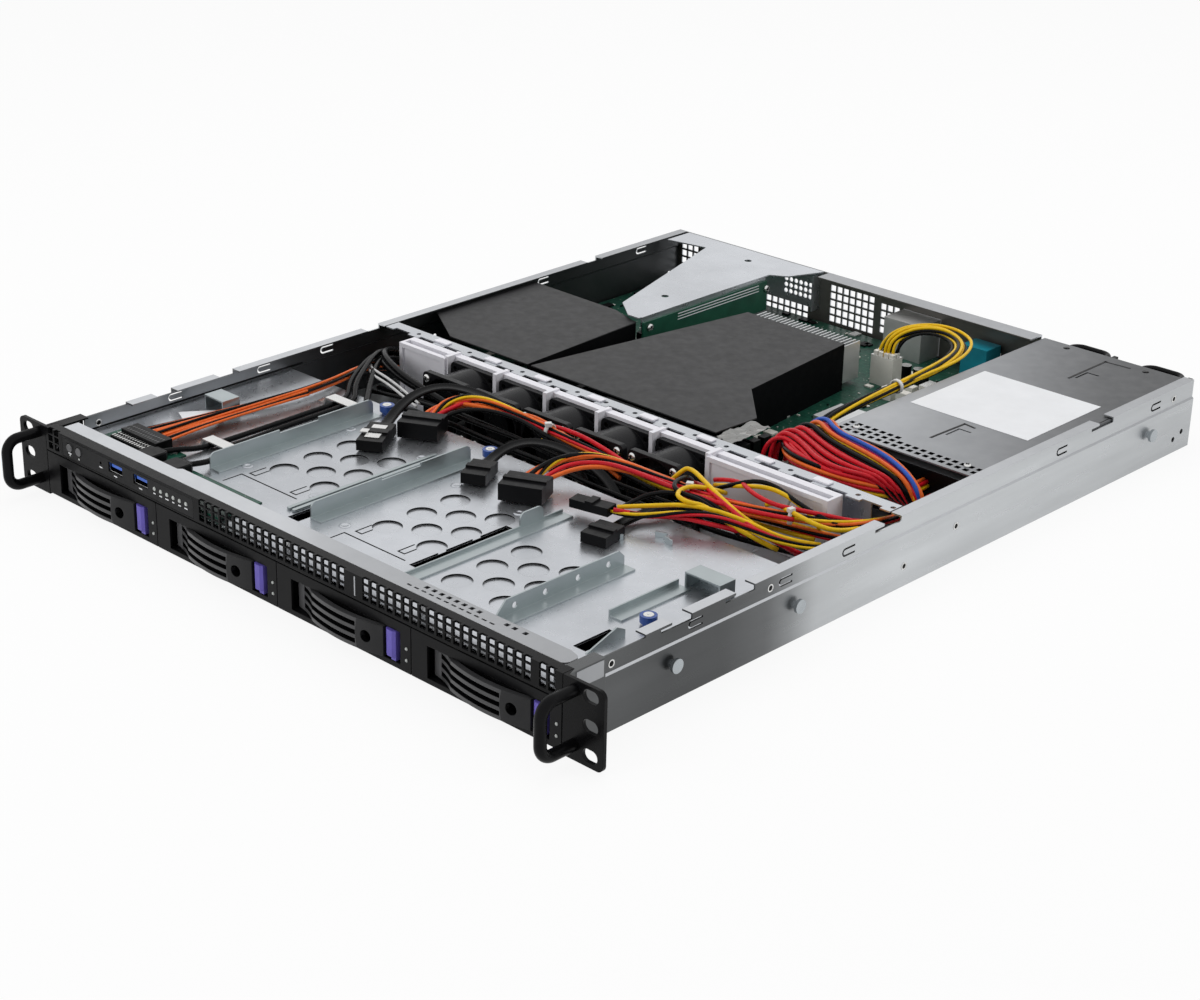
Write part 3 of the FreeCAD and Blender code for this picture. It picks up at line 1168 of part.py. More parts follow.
def fan_bracket():
    """The galvanised bar across the chassis: a notched top flange and a wall with air windows."""
    half = WALL_IN - WALL_FLANGE
    rear = BRACKET_FRONT + BRACKET_LENGTH
    top = block((-half, half), (BRACKET_FRONT, rear), (TOP_LOW, HEIGHT))
    wall = block((-half, half), (rear - SHEET, rear), (SHEET + FIT, HEIGHT))
    cuts = []
    for index in range(FANS):
        x = fan_x(index)
        window = BRACKET_WINDOW / 2
        cuts.append(block((x - window, x + window), (rear - 2 * SHEET, rear + PAST),
                          (FAN_Z - window, FAN_Z + window)))
    for side in (-1, 1):
        outer = side * (half + PAST)
        inner = side * (half - PASSAGE_WIDTH)
        cuts.append(block((min(outer, inner), max(outer, inner)), (rear - 2 * SHEET, rear + PAST),
                          (PASSAGE_LOW, PASSAGE_HIGH)))
    count = int(2 * half // BRACKET_TAB_PITCH)
    for index in range(count):
        x = (index - (count - 1) / 2) * BRACKET_TAB_PITCH
        cuts.append(block((x - BRACKET_TAB / 2, x + BRACKET_TAB / 2),
                          (BRACKET_FRONT - PAST, BRACKET_FRONT + BRACKET_TAB_DEPTH),
                          (TOP_LOW - PAST, HEIGHT + PAST)))
        cuts.append(bar("z", x + BRACKET_TAB_PITCH / 2, BRACKET_FRONT + BRACKET_LENGTH / 2, BRACKET_HOLE,
                        TOP_LOW - PAST, HEIGHT + PAST))
    return without(joined([top, wall]), cuts)


# Main board and what stands on it

def main_board():
    return block((BOARD_LEFT, BOARD_RIGHT), (BOARD_FRONT, BOARD_REAR), (BOARD_LOW, BOARD_TOP))


def memory_socket(index):
    """An empty memory socket with its groove and raised ends."""
    front = MEMORY_FIRST + index * MEMORY_PITCH
    body = seated((MEMORY_LEFT, front, MEMORY_LENGTH, MEMORY_WIDTH, MEMORY_HEIGHT))
    ends = [seated((x, front, MEMORY_END, MEMORY_WIDTH, MEMORY_END_HEIGHT))
            for x in (MEMORY_LEFT, MEMORY_LEFT + MEMORY_LENGTH - MEMORY_END)]
    middle = front + MEMORY_WIDTH / 2
    top = BOARD_TOP + MEMORY_HEIGHT
    groove = block((MEMORY_LEFT + MEMORY_END, MEMORY_LEFT + MEMORY_LENGTH - MEMORY_END),
                   (middle - MEMORY_GROOVE / 2, middle + MEMORY_GROOVE / 2),
                   (top - MEMORY_HEIGHT / 2, top + PAST))
    return joined([body] + ends).cut(groove)


def edge_socket():
    """The board socket that the riser card plugs into."""
    middle = RISER_X + MAIN_BOARD_SHEET / 2
    length = RISER_EDGE_LENGTH + 2 * EDGE_SOCKET_END
    front = RISER_FRONT + RISER_EDGE_START - EDGE_SOCKET_END
    body = seated((middle - EDGE_SOCKET_WIDTH / 2, front, EDGE_SOCKET_WIDTH, length, EDGE_SOCKET_HEIGHT))
    half = MAIN_BOARD_SHEET / 2 + FIT
    top = BOARD_TOP + EDGE_SOCKET_HEIGHT
    groove = block((middle - half, middle + half),
                   (front + EDGE_SOCKET_WALL, front + length - EDGE_SOCKET_WALL),
                   (top - RISER_EDGE - FIT, top + PAST))
    return body.cut(groove)


def board_components():
    """The sockets, plugs and parts soldered to the main board; those near its rear go by the rear face."""
    pieces = [memory_socket(index) for index in range(MEMORY_SOCKETS)]
    pieces.append(seated((SINK_LEFT + SINK_WIDTH / 4, SINK_FRONT + SINK_LENGTH / 4,
                          SINK_WIDTH / 2, SINK_LENGTH / 2, CPU_SOCKET_HEIGHT)))
    pieces.append(seated((BOARD_RIGHT - MAIN_PLUG_GAP - MAIN_PLUG[1],) + MAIN_PLUG))
    pieces.append(seated((BOARD_LEFT + SIGNAL_PLUG_GAP,) + SIGNAL_PLUG))
    pieces.append(seated(CHIP_SINK))
    for x, back, width, length, height in (CPU_PLUG,) + SMALL_PLUGS:
        pieces.append(seated((x, DEPTH - back, width, length, height)))
    for x, back in CAPACITORS:
        pieces.append(bar("z", x, DEPTH - back, CAPACITOR_RADIUS, BOARD_TOP, BOARD_TOP + CAPACITOR_HEIGHT))
    pieces.append(edge_socket())
    return pieces


def heatsink():
    low = BOARD_TOP + CPU_SOCKET_HEIGHT
    ys = (SINK_FRONT, SINK_FRONT + SINK_LENGTH)
    base = block((SINK_LEFT, SINK_LEFT + SINK_WIDTH), ys, (low, low + SINK_BASE))
    pitch = (SINK_WIDTH - SINK_FIN) / (SINK_FINS - 1)
    fins = [block((SINK_LEFT + i * pitch, SINK_LEFT + i * pitch + SINK_FIN), ys, (low + SINK_BASE, SINK_TOP))
            for i in range(SINK_FINS)]
    return joined([base] + fins)


def io_ports():
    left, width, length, height = LAN_BLOCK
    rear = DEPTH - SHEET / 2
    sockets = block((left, left + width), (rear - length, rear), (BOARD_TOP, BOARD_TOP + height))
    third = height / 3
    half = width / 2
    ys = (rear - PORT_DEPTH, rear + PAST)
    usb_xs = (left + 2 * PORT_WALL, left + half - PORT_WALL)
    rooms = [block(usb_xs, ys, (BOARD_TOP + step * third + 2 * PORT_WALL,
                                BOARD_TOP + (step + 1) * third - PORT_WALL))
             for step in range(2)]
    lan_low = BOARD_TOP + 2 * PORT_WALL
    rooms.append(block((left + half + PORT_WALL, left + width - 2 * PORT_WALL), ys,
                       (lan_low, lan_low + LAN_ROOM)))
    left, width, length, height = SERIAL_BLOCK
    front = BOARD_REAR - length
    body = block((left, left + width), (front, BOARD_REAR), (BOARD_TOP, BOARD_TOP + height))
    shell_width, shell_height, reach = SERIAL_SHELL
    middle = left + width / 2
    level = BOARD_TOP + height / 2
    outline = [(middle - shell_width / 2 + SERIAL_SLOPE, level - shell_height / 2),
               (middle + shell_width / 2 - SERIAL_SLOPE, level - shell_height / 2),
               (middle + shell_width / 2, level + shell_height / 2),
               (middle - shell_width / 2, level + shell_height / 2)]
    shell = prism("y", outline, BOARD_REAR, BOARD_REAR + reach)
    return [without(sockets, rooms), joined([body, shell])]


def riser_card():
    xs = (RISER_X, RISER_X + MAIN_BOARD_SHEET)
    edge_top = BOARD_TOP + EDGE_SOCKET_HEIGHT
    card = block(xs, (RISER_FRONT, RISER_REAR), (edge_top + FIT, RISER_TOP))
    edge_front = RISER_FRONT + RISER_EDGE_START
    edge = block(xs, (edge_front, edge_front + RISER_EDGE_LENGTH), (edge_top - RISER_EDGE, edge_top + FIT))
    width, length, height = RISER_SLOT
    slot_low = edge_top + RISER_SLOT_LIFT
    slot = block((RISER_X - width, RISER_X), (edge_front, edge_front + length), (slot_low, slot_low + height))
    return [joined([card, edge]), slot]


def riser_bracket():
    """The sheet over the card space, with a flange along the riser card and one along the rear panel."""
    outline = [(inset - HALF, DEPTH - back) for inset, back in RISER_PLATE]
    holes = [bar("z", inset - HALF, DEPTH - back, RISER_PLATE_HOLE / 2, TOP_LOW - PAST, HEIGHT + PAST)
             for inset, back in RISER_PLATE_HOLES]
    plate = without(prism("z", outline, TOP_LOW, HEIGHT), holes)
    flange_x = RISER_X - FIT
    flange = block((flange_x - SHEET, flange_x), (RISER_FRONT, RISER_REAR), (TOP_LOW - RISER_FLANGE, HEIGHT))
    right, rear = outline[4]
    left = outline[5][0]
    back = block((left, right), (rear - SHEET, rear), (SLOT_HIGH + SLOT_OVERLAP + FIT, HEIGHT))
    return joined([plate, flange, back])


def slot_cover():
    """The cover of the empty card slot, with air holes beside its inner lip."""
    rear = DEPTH - SHEET
    xs = (SLOT_LEFT - SLOT_OVERLAP, SLOT_RIGHT + SLOT_OVERLAP)
    plate = block(xs, (rear - SHEET, rear), (SLOT_LOW - SLOT_OVERLAP, SLOT_HIGH + SLOT_OVERLAP))
    lip = block((xs[1] - SHEET, xs[1]), (rear - SLOT_LIP, rear),
                (SLOT_LOW - SLOT_OVERLAP, SLOT_HIGH + SLOT_OVERLAP))
    vents = []
    for column in range(SLOT_VENT_COLUMNS):
        for row in range(SLOT_VENT_ROWS):
            x = SLOT_RIGHT - (column + 1) * SLOT_VENT_PITCH
            z = SLOT_LOW + (row + 1) * SLOT_VENT_PITCH
            vents.append(bar("y", x, z, SLOT_VENT / 2, rear - SHEET - PAST, rear + PAST))
    return joined([without(plate, vents), lip])


# Air shrouds

def shroud_side(start, end):
    """An upright sheet under one edge of a shroud, standing on the main board."""
    way = Vector(end[0] - start[0], end[1] - start[1], 0).normalize()
    inward = Vector(-way.y, way.x, 0) * SHROUD_SHEET
    outline = [start, end, (end[0] + inward.x, end[1] + inward.y), (start[0] + inward.x, start[1] + inward.y)]
    return prism("z", outline, BOARD_TOP, SHROUD_TOP)


def air_shroud(outline, start, end):
    """A flat top sheet with one side folded down between two corners of its outline."""
    top = prism("z", outline, SHROUD_TOP - SHROUD_SHEET, SHROUD_TOP)
    return joined([top, shroud_side(outline[start], outline[end])])


def cpu_shroud():
    """The shroud over the memory, which narrows to the heatsink."""
    left = SINK_LEFT - SHROUD_SINK_GAPS[0]
    right = SINK_LEFT + SINK_WIDTH + SHROUD_SINK_GAPS[1]
    front_right, corner, neck = CPU_SHROUD_FRONT
    front_left = (LEFT_SHROUD_FRONT[-1][0] - HALF + SHROUD_GAP, front_right[1])
    outline = [front_left, (left, CPU_SHROUD_REAR[1]), (right, CPU_SHROUD_REAR[0]), neck, corner, front_right]
    return air_shroud(outline, 2, 3)


def left_shroud():
    """The shroud beside the left wall, up to the riser card."""
    outline = [(inset - HALF, y) for inset, y in LEFT_SHROUD_FRONT]
    outline.extend((inset - HALF, RISER_FRONT + y) for inset, y in LEFT_SHROUD_REAR)
    return air_shroud(outline, 2, 3)


# Power supply

def module_left(index):
    return PSU_LEFT + SHEET + index * (PSU_BAY + SHEET)


def psu_cage():
    """The power supply's sheet cage, with vents and lanced clips in its top, and its inner board."""
    rear = DEPTH - FIT
    top = block((PSU_LEFT, PSU_RIGHT), (PSU_FRONT, rear), (PSU_TOP - SHEET, PSU_TOP))
    through = (PSU_TOP - SHEET - PAST, PSU_TOP + PAST)
    cuts = []
    for row, count in enumerate((PSU_VENTS, PSU_VENTS, PSU_SHORT_VENTS)):
        for column in range(count):
            x = PSU_LEFT + PSU_VENT_PITCH / 2 + column * PSU_VENT_PITCH
            y = PSU_FRONT + PSU_VENT + row * PSU_VENT_PITCH
            cuts.append(block((x, x + PSU_VENT), (y, y + PSU_VENT), through))
    long, short, slit = PSU_LANCE
    x = PSU_LEFT + PSU_WIDTH / 2
    for y in (PSU_FRONT + PSU_LANCE_FRONT, rear - PSU_LANCE_REAR):
        bar_slit = block((x, x + slit), (y - long, y), through)
        cuts.append(bar_slit.fuse(block((x, x + short), (y - slit, y), through)))
    walls = []
    for index in range(PSU_MODULES + 1):
        x = PSU_LEFT + index * (PSU_BAY + SHEET)
        front = PSU_FRONT if index != 1 else PSU_FRONT + PSU_MODULE_FRONT
        walls.append(block((x, x + SHEET), (front, rear), (SHEET + FIT, PSU_TOP - SHEET)))
    board_front = PSU_FRONT + PSU_BOARD_FRONT
    inner = block((PSU_LEFT + SHEET, PSU_RIGHT - SHEET), (board_front, board_front + MAIN_BOARD_SHEET),
                  (SHEET + FIT, PSU_TOP - SHEET))
    outlet = block((PSU_LEFT + SHEET, PSU_RIGHT - SHEET), (PSU_FRONT, board_front),
                   (SHEET + FIT, PSU_TOP - SHEET - PSU_OUTLET_DROP))
    return [without(top, cuts), inner, outlet] + walls


def psu_module(index):
    """A power module: a sheet case with a fan, a mains inlet and a bail handle on its rear face."""
    left = module_left(index) + RUN
    right = module_left(index) + PSU_BAY - RUN
    middle = (left + right) / 2
    front = PSU_FRONT + PSU_MODULE_FRONT
    rear = DEPTH
    body = block((left, right), (front, rear), (MODULE_LOW, MODULE_TOP))
    body = rounded(body, "y", PSU_EDGE, lambda p: True)
    width, height, depth = INLET
    inlet_low = MODULE_LOW + INLET_LIFT
    inlet_left = left + INLET_MARGIN
    inlet = block((inlet_left, inlet_left + height), (rear - depth, rear + PAST),
                  (inlet_low, inlet_low + width))
    inlet = rounded(inlet, "y", INLET_CORNER, lambda p: p.x > inlet_left + PAST)
    fan_x_place = right - MODULE_FAN_RADIUS - MODULE_FAN_MARGIN
    fan_z = (MODULE_LOW + MODULE_TOP) / 2
    well = bar("y", fan_x_place, fan_z, MODULE_FAN_RADIUS, rear - MODULE_FAN_DEPTH, rear + PAST)
    hub = bar("y", fan_x_place, fan_z, MODULE_FAN_HUB, rear - MODULE_FAN_DEPTH, rear - PAST)
    high = MODULE_TOP - PSU_HANDLE_DROP
    reach = rear + PSU_HANDLE_REACH - PSU_HANDLE_BAR / 2
    half = PSU_HANDLE_SPAN / 2
    points = [(middle - half, rear, high), (middle - half, reach, high), (middle + half, reach, high),
              (middle + half, rear, high)]
    return joined([without(body, [inlet, well]), hub]), bent_bar(points, PSU_HANDLE_BEND, PSU_HANDLE_BAR)


def psu_latch(index):
    """The spring catch beside a module's handle."""
    width, length, height = PSU_LATCH
    right = module_left(index) + PSU_BAY - RUN - PSU_LATCH_SIDE
    high = MODULE_TOP - PSU_LATCH_DROP
    front = DEPTH + RUN
    stem = block((right - width, right - width + PSU_LATCH_LIP), (front, front + length),
                 (high - height, high))
    foot = block((right - width, right), (front, front + PSU_LATCH_LIP), (high - height, high))
    return joined([stem, foot])


# Loose plugs

def loose_plug(x, y, z, turn, width, length, height):
    """A cable plug lying on the cage plate: a housing with a raised ridge across it."""
    housing = block((-width / 2, width / 2), (-length / 2, length / 2), (-height / 2, height / 2))
    ridge = block((-width / 2, width / 2), (-length / 10, length / 10), (height / 2, height / 2 + PLUG_RIDGE))
    shape = joined([housing, ridge])
    shape.rotate(Vector(0, 0, 0), Vector(0, 0, 1), turn)
    shape.translate(Vector(x, y, z))
    return shape


def main():
    os.makedirs("parts", exist_ok=True)
    save("chassis_pan", *chassis_pan())
    save("rear_panel", rear_panel())
    save("rack_ears", ear(), mirrored(ear()))
    save("ear_handles", ear_handle(), mirrored(ear_handle()))
    studs = [rail_stud(depth) for depth in STUD_DEPTHS]
    save("rail_studs", *(studs + [mirrored(stud) for stud in studs]))

    save("front_grille", front_grille())
    save("front_top_rail", front_top_rail())
    save("control_panel", control_panel())
    save("power_button", panel_button(BUTTONS[0]))
    save("reset_button", panel_button(BUTTONS[1]))
    save("usb_ports", *[usb_port(x) for x in PORTS])
    save("front_panel_board", *front_panel_board())

    save("drive_cage", *drive_cage())
    rails = [device_rail(*rail) for rail in DEVICE_RAILS] + [low_rail(), side_rail(), short_rail(),
                                                             corner_flap()]
    save("device_rails", *(rails + [device_stop(*stop) for stop in STOPS]))
    save("thumbscrews", *[thumbscrew(x, y) for x, y in KNOBS])
    save("cable_straps", *[cable_strap(x, y) for x, y in STRAPS])
    save("drive_backplane", *drive_backplane())
    for index in range(BAYS):
        number = str(index + 1)
        save("carrier_" + number, *carrier(index))
        save("carrier_lever_" + number, carrier_lever(index))
        save("carrier_latch_" + number, carrier_latch(index))

    save("fan_bracket", fan_bracket())
    save("fan_housing", fan_housing())
    save("fan_frames", *[fan_frame(index) for index in range(FANS)])
    for index in range(FANS):
        save("fan_rotor_" + str(index + 1), fan_rotor(index))

    save("motherboard", *([main_board()] + board_components()))
    save("heatsink", heatsink())
    save("io_ports", *io_ports())
    save("riser_card", *riser_card())
    save("riser_bracket", riser_bracket())
    save("slot_cover", slot_cover())
    save("air_shroud_left", left_shroud())
    save("air_shroud_cpu", cpu_shroud())

    save("psu_cage", *psu_cage())
    for index in range(PSU_MODULES):
        number = str(index + 1)
        save("psu_module_" + number, *psu_module(index))
        save("psu_latch_" + number, psu_latch(index))

    save("front_panel_cable", cable(FRONT_ROUTE, FRONT_CABLE))
    save("sata_cable_1", cable(SATA_ROUTE_1, SATA_CABLE))
    save("sata_cable_2", cable(SATA_ROUTE_2, SATA_CABLE))
    save("sata_cable_3", cable(SATA_ROUTE_3, SATA_CABLE))
    save("drive_power_cable_1", cable(DRIVE_ROUTE_1, DRIVE_CABLE))
    save("drive_power_cable_2", cable(DRIVE_ROUTE_2, DRIVE_CABLE))
    save("drive_power_cable_3", cable(DRIVE_ROUTE_3, THIN_CABLE))
    save("main_power_harness", cable(MAIN_ROUTE, MAIN_CABLE))
    save("cpu_power_cable", cable(CPU_ROUTE, CPU_CABLE))
    save("drive_plugs", *[loose_plug(*plug) for plug in PLUGS])


main()
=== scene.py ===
import contextlib
import math
import random

import bmesh
import bpy
from mathutils import Matrix, Vector
from mathutils.bvhtree import BVHTree


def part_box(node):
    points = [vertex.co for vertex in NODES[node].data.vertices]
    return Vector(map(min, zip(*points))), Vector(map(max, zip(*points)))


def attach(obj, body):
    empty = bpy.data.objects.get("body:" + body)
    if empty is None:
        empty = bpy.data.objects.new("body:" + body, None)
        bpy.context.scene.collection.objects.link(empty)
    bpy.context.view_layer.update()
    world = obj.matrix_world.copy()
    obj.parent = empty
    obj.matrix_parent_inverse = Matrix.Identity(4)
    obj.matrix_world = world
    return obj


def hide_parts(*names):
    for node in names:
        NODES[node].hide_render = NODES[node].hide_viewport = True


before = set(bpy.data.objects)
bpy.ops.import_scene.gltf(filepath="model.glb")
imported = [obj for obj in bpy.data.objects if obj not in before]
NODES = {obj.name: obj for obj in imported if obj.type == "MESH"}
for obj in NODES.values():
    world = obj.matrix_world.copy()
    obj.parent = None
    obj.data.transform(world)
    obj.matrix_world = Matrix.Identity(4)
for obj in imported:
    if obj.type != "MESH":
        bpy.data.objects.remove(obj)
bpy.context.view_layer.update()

rng = random.Random(7)

# Places of the construction, in millimetres from the ears' front plane and the underside
MIDDLE_Y = 276      # the frame's origin
REAR_Y = 560        # rear face
PARTS_Z = 8         # the main board's parts start here
PLATE_Z = 32        # top of the drive plate
COVER_Z = 42        # top of the power supply's cover
RIM_Z = 42          # the walls' top rims lie above this
WALL_X = 200        # the side walls lie beyond this on either side

UPWARD = Vector((0, 0, 1))
DOWNWARD = Vector((0, 0, -1))
OUTWARD = Vector((1, 0, 0))
FORWARD = Vector((0, -1, 0))
REARWARD = Vector((0, 1, 0))
TIP = 0.02          # radius at which a turned shape closes
FACING = 0.5        # share of its normal from which a face looks to a side
SQUARE = 0.8        # and from which it looks straight to it


def at(x, y, z):
    """A point in metres from millimetres counted from the ears' front plane."""
    return Vector((x / 1000, (y - MIDDLE_Y) / 1000, z / 1000))


def add_object(name, data):
    made = bpy.data.objects.new(name, data)
    bpy.context.scene.collection.objects.link(made)
    return made


# Camera, solved from the photograph

camera_data = bpy.data.cameras.new("camera")
camera = add_object("camera", camera_data)
camera_data.sensor_fit = "HORIZONTAL"
camera_data.sensor_width = 36
camera_data.lens = 71.62
camera_data.shift_x = 0.0973
camera_data.shift_y = -0.013
camera_data.clip_start = 0.05
RIGHT = Vector((0.69179, 0.72210, 0.00031))
UP = Vector((-0.28848, 0.27597, 0.91685))
BACK = Vector((0.66197, -0.63436, 0.39922))
camera.matrix_world = (Matrix.Translation(at(908.04, -717.07, 575.13))
                       @ Matrix((RIGHT, UP, BACK)).transposed().to_4x4())
bpy.context.scene.camera = camera


# Materials

WHITE_LIGHT = (1, 1, 1, 1)
NOISE_LOW, NOISE_HIGH = 0.3, 0.7    # a noise texture stays about within these
GRAIN_DEPTH = 0.0004
CLOUD_SCALE = 9


def fill(tree, node, inputs):
    """Sets a node's inputs; one given as another node's output is linked to it."""
    for key, value in inputs.items():
        if isinstance(value, bpy.types.NodeSocket):
            tree.links.new(value, node.inputs[key])
        else:
            node.inputs[key].default_value = value


def add_node(tree, kind, inputs, **settings):
    node = tree.nodes.new("ShaderNode" + kind)
    for name, value in settings.items():
        setattr(node, name, value)
    fill(tree, node, inputs)
    return node


def noise(tree, coords, scale, detail, stretch=None):
    """A noise texture over the object's own space."""
    if stretch:
        coords = add_node(tree, "Mapping", {"Scale": stretch, "Vector": coords}).outputs["Vector"]
    return add_node(tree, "TexNoise", {"Scale": scale, "Detail": detail, "Vector": coords}).outputs["Fac"]


def ramp(tree, value, stops):
    """A colour ramp with the given places and colours."""
    node = add_node(tree, "ValToRGB", {"Fac": value})
    elements = node.color_ramp.elements
    while len(elements) < len(stops):
        elements.new(0.5)
    for element, (place, color) in zip(elements, stops):
        element.position = place
        element.color = (*color, 1)
    return node.outputs["Color"]


def spread(tree, value, low, high):
    """A noise value moved to a range."""
    return add_node(tree, "MapRange", {"Value": value, "From Min": NOISE_LOW, "From Max": NOISE_HIGH,
                                       "To Min": low, "To Max": high}).outputs["Result"]


def shade(color, factor):
    return tuple(min(1, c * factor) for c in color)


def mix_color(tree, share, first, second, blend="MIX"):
    """Two colours mixed; the node's inputs 6 and 7 and its output 2 are the ones for colours."""
    return add_node(tree, "Mix", {0: share, 6: first, 7: second}, data_type="RGBA", blend_type=blend).outputs[2]


def fade(tree, coords, stops, lean):
    """A factor along the depth of the object, or askew to it; the stops give a place in millimetres and a share."""
    along = add_node(tree, "VectorMath", {0: coords, 1: (lean, 1, 0)}, operation="DOT_PRODUCT")
    place = add_node(tree, "Math", {0: along.outputs["Value"], 1: MIDDLE_Y / 1000})
    return ramp(tree, place.outputs[0], [(stop / 1000, (share,) * 3) for stop, share in stops])


def material(name, color, rough, metal, vary, scale, rough_vary, bump, bump_scale, stretch=None, spec=0.5,
             edge=0.0003, cloud=0, along=None, lean=0):
    """A surface with cloudy colour, uneven gloss, a fine grain and softened edges; where stops are given, its colour
    also darkens by place along its depth, which is painted shade.
    """
    made = bpy.data.materials.new(name)
    made.use_nodes = True
    tree = made.node_tree
    coords = add_node(tree, "TexCoord", {}).outputs["Object"]
    tone = ramp(tree, noise(tree, coords, scale, 4, stretch),
                ((NOISE_LOW, shade(color, 1 - vary)), (NOISE_HIGH, shade(color, 1 + vary))))
    if cloud:
        wide = noise(tree, coords, CLOUD_SCALE, 2, stretch)
        clouds = ramp(tree, wide, ((0.35, (1 - cloud,) * 3), (0.62, (1, 1, 1))))
        tone = mix_color(tree, 1, tone, clouds, "MULTIPLY")
    # Darkening by place along the depth, askew where lean is given: painted shade.
    if along:
        tone = mix_color(tree, 1, tone, fade(tree, coords, along, lean), "MULTIPLY")
    gloss = noise(tree, coords, scale * 3.1, 2, stretch)
    grain = {"Strength": bump, "Distance": GRAIN_DEPTH, "Height": noise(tree, coords, bump_scale, 2, stretch)}
    if edge:
        grain["Normal"] = add_node(tree, "Bevel", {"Radius": edge}, samples=4).outputs["Normal"]
    fill(tree, tree.nodes["Principled BSDF"], {
        "Base Color": tone, "Roughness": spread(tree, gloss, rough - rough_vary, rough + rough_vary),
        "Normal": add_node(tree, "Bump", grain).outputs["Normal"], "Metallic": metal, "Specular IOR Level": spec})
    return made


def board_material(name, color):
    """Solder mask with lighter tracks and small bright pads."""
    made = material(name, color, 0.35, 0, 0.25, 90, 0.05, 0.08, 900, spec=0.3)
    tree = made.node_tree
    coords = add_node(tree, "TexCoord", {}).outputs["Object"]
    tracks = add_node(tree, "TexBrick", {
        "Scale": 60, "Mortar Size": 0.012, "Color1": (*color, 1), "Color2": (*shade(color, 0.7), 1),
        "Mortar": (*shade(color, 1.8), 1), "Vector": coords})
    cells = add_node(tree, "TexVoronoi", {"Scale": 260, "Vector": coords})
    pads = ramp(tree, cells.outputs["Distance"], ((0.10, (1, 1, 1)), (0.14, (0, 0, 0))))
    fill(tree, tree.nodes["Principled BSDF"],
         {"Base Color": mix_color(tree, pads, tracks.outputs["Color"], (0.4, 0.42, 0.36, 1))})
    return made


# Name, colour, roughness, metal share, colour variation and its scale, roughness variation, grain and its scale
STEEL = material("galvanised_sheet", (0.575, 0.595, 0.63), 0.29, 0.9, 0.04, 60, 0.03, 0.003, 500, cloud=0.16)
# STRIP_STEEL and FLANGE_STEEL are copies of one light sheet darkened by place: painted shade, the strip's towards
# the right and rear, the flange's towards the rear.
LIGHT_SHEET = ((0.58, 0.595, 0.62), 0.36, 0.7, 0.03, 60, 0.04, 0.015, 600)
STRIP_STEEL = material("strip_sheet", *LIGHT_SHEET, lean=1, along=((0, 1), (45, 0.74), (110, 0.66), (220, 0.6)))
FLANGE_STEEL = material("flange_sheet", *LIGHT_SHEET, along=((210, 0.95), (330, 0.85), (420, 0.72), (560, 0.62)))
# The walls' sheet is darkened by place along its depth, most at the front: painted shade.
WALL_STEEL = material("wall_sheet", (0.58, 0.6, 0.615), 0.32, 0.9, 0.07, 30, 0.06, 0.015, 400, (1, 0.25, 2.5),
                      cloud=0.1, along=((40, 0.17), (75, 0.14), (115, 0.15), (150, 0.24), (168, 0.45), (190, 0.85),
                                        (260, 1), (330, 0.94), (400, 0.88), (540, 0.82)))
# The left wall's inner sheet is darkened by place, most behind the fan housing: painted shade.
INNER_STEEL = material("inner_sheet", (0.44, 0.46, 0.48), 0.36, 0.8, 0.07, 40, 0.05, 0.015, 600, cloud=0.15,
                       along=((30, 0.85), (100, 0.95), (150, 0.6), (185, 0.3), (215, 0.12), (440, 0.13),
                              (560, 0.3)))
RAIL_STEEL = material("rail_sheet", (0.4, 0.445, 0.455), 0.32, 0.85, 0.04, 60, 0.03, 0.01, 600)
# The power supply's sheet darkens by place towards the rear and the right: painted shade.
PSU_STEEL = material("psu_sheet", (0.5, 0.515, 0.54), 0.4, 0.8, 0.04, 40, 0.04, 0.015, 600, cloud=0.08, lean=1.6,
                     along=((560, 0.86), (636, 0.64), (690, 0.5), (740, 0.34), (800, 0.2), (860, 0.15)))
STUD = material("stud_steel", (0.4, 0.43, 0.45), 0.2, 0.95, 0.06, 90, 0.05, 0.02, 900)
# A darker copy of the sheet for the rear panel's inner face: painted shade.
REAR_STEEL = material("rear_inside", (0.2, 0.19, 0.175), 0.4, 0.8, 0.08, 40, 0.05, 0.01, 600, cloud=0.2)
BRIGHT = material("plated_metal", (0.7, 0.7, 0.69), 0.22, 0.9, 0.05, 90, 0.05, 0.02, 900)
# A brighter copy of the sheet for faces seen through the grille's holes: painted highlight.
GLINT = material("grille_back", (0.72, 0.73, 0.74), 0.3, 1, 0.04, 90, 0.05, 0.02, 900)
SINK = material("sink_metal", (0.66, 0.67, 0.68), 0.35, 0.8, 0.05, 90, 0.05, 0.03, 900, (1, 0.1, 1))
COAT = material("black_coat", (0.0045, 0.0045, 0.005), 0.3, 0, 0.25, 70, 0.06, 0.05, 2600, spec=0.09,
                edge=0.0005)
PANEL = material("panel_plastic", (0.009, 0.009, 0.0095), 0.46, 0, 0.15, 90, 0.05, 0.1, 2800, spec=0.14)
BLACK = material("black_plastic", (0.004, 0.004, 0.0045), 0.34, 0, 0.25, 80, 0.06, 0.04, 2400, spec=0.1,
                 edge=0.0005)
LEVER = material("lever_plastic", (0.016, 0.016, 0.017), 0.36, 0, 0.2, 80, 0.05, 0.03, 2400, spec=0.2,
                 edge=0.0006)
# RIB is a painted highlight on the levers' rib fronts and top faces. PAD is painted light on the recessed left end
# of each lever, and also colours the header's rear pin rows.
RIB = material("lever_edges", (0.045, 0.045, 0.047), 0.35, 0, 0.1, 80, 0.05, 0.03, 2400, spec=0.4, edge=0.0005)
PAD = material("lever_root", (0.085, 0.085, 0.088), 0.4, 0, 0.1, 80, 0.05, 0.03, 2400, spec=0.3)
FAN = material("fan_plastic", (0.007, 0.007, 0.008), 0.3, 0, 0.2, 120, 0.06, 0.02, 2400, spec=0.14, edge=0.0006)
SHROUD = material("shroud_sheet", (0.028, 0.028, 0.029), 0.55, 0, 0.1, 60, 0.05, 0.25, 1500, spec=0.3, cloud=0.15)
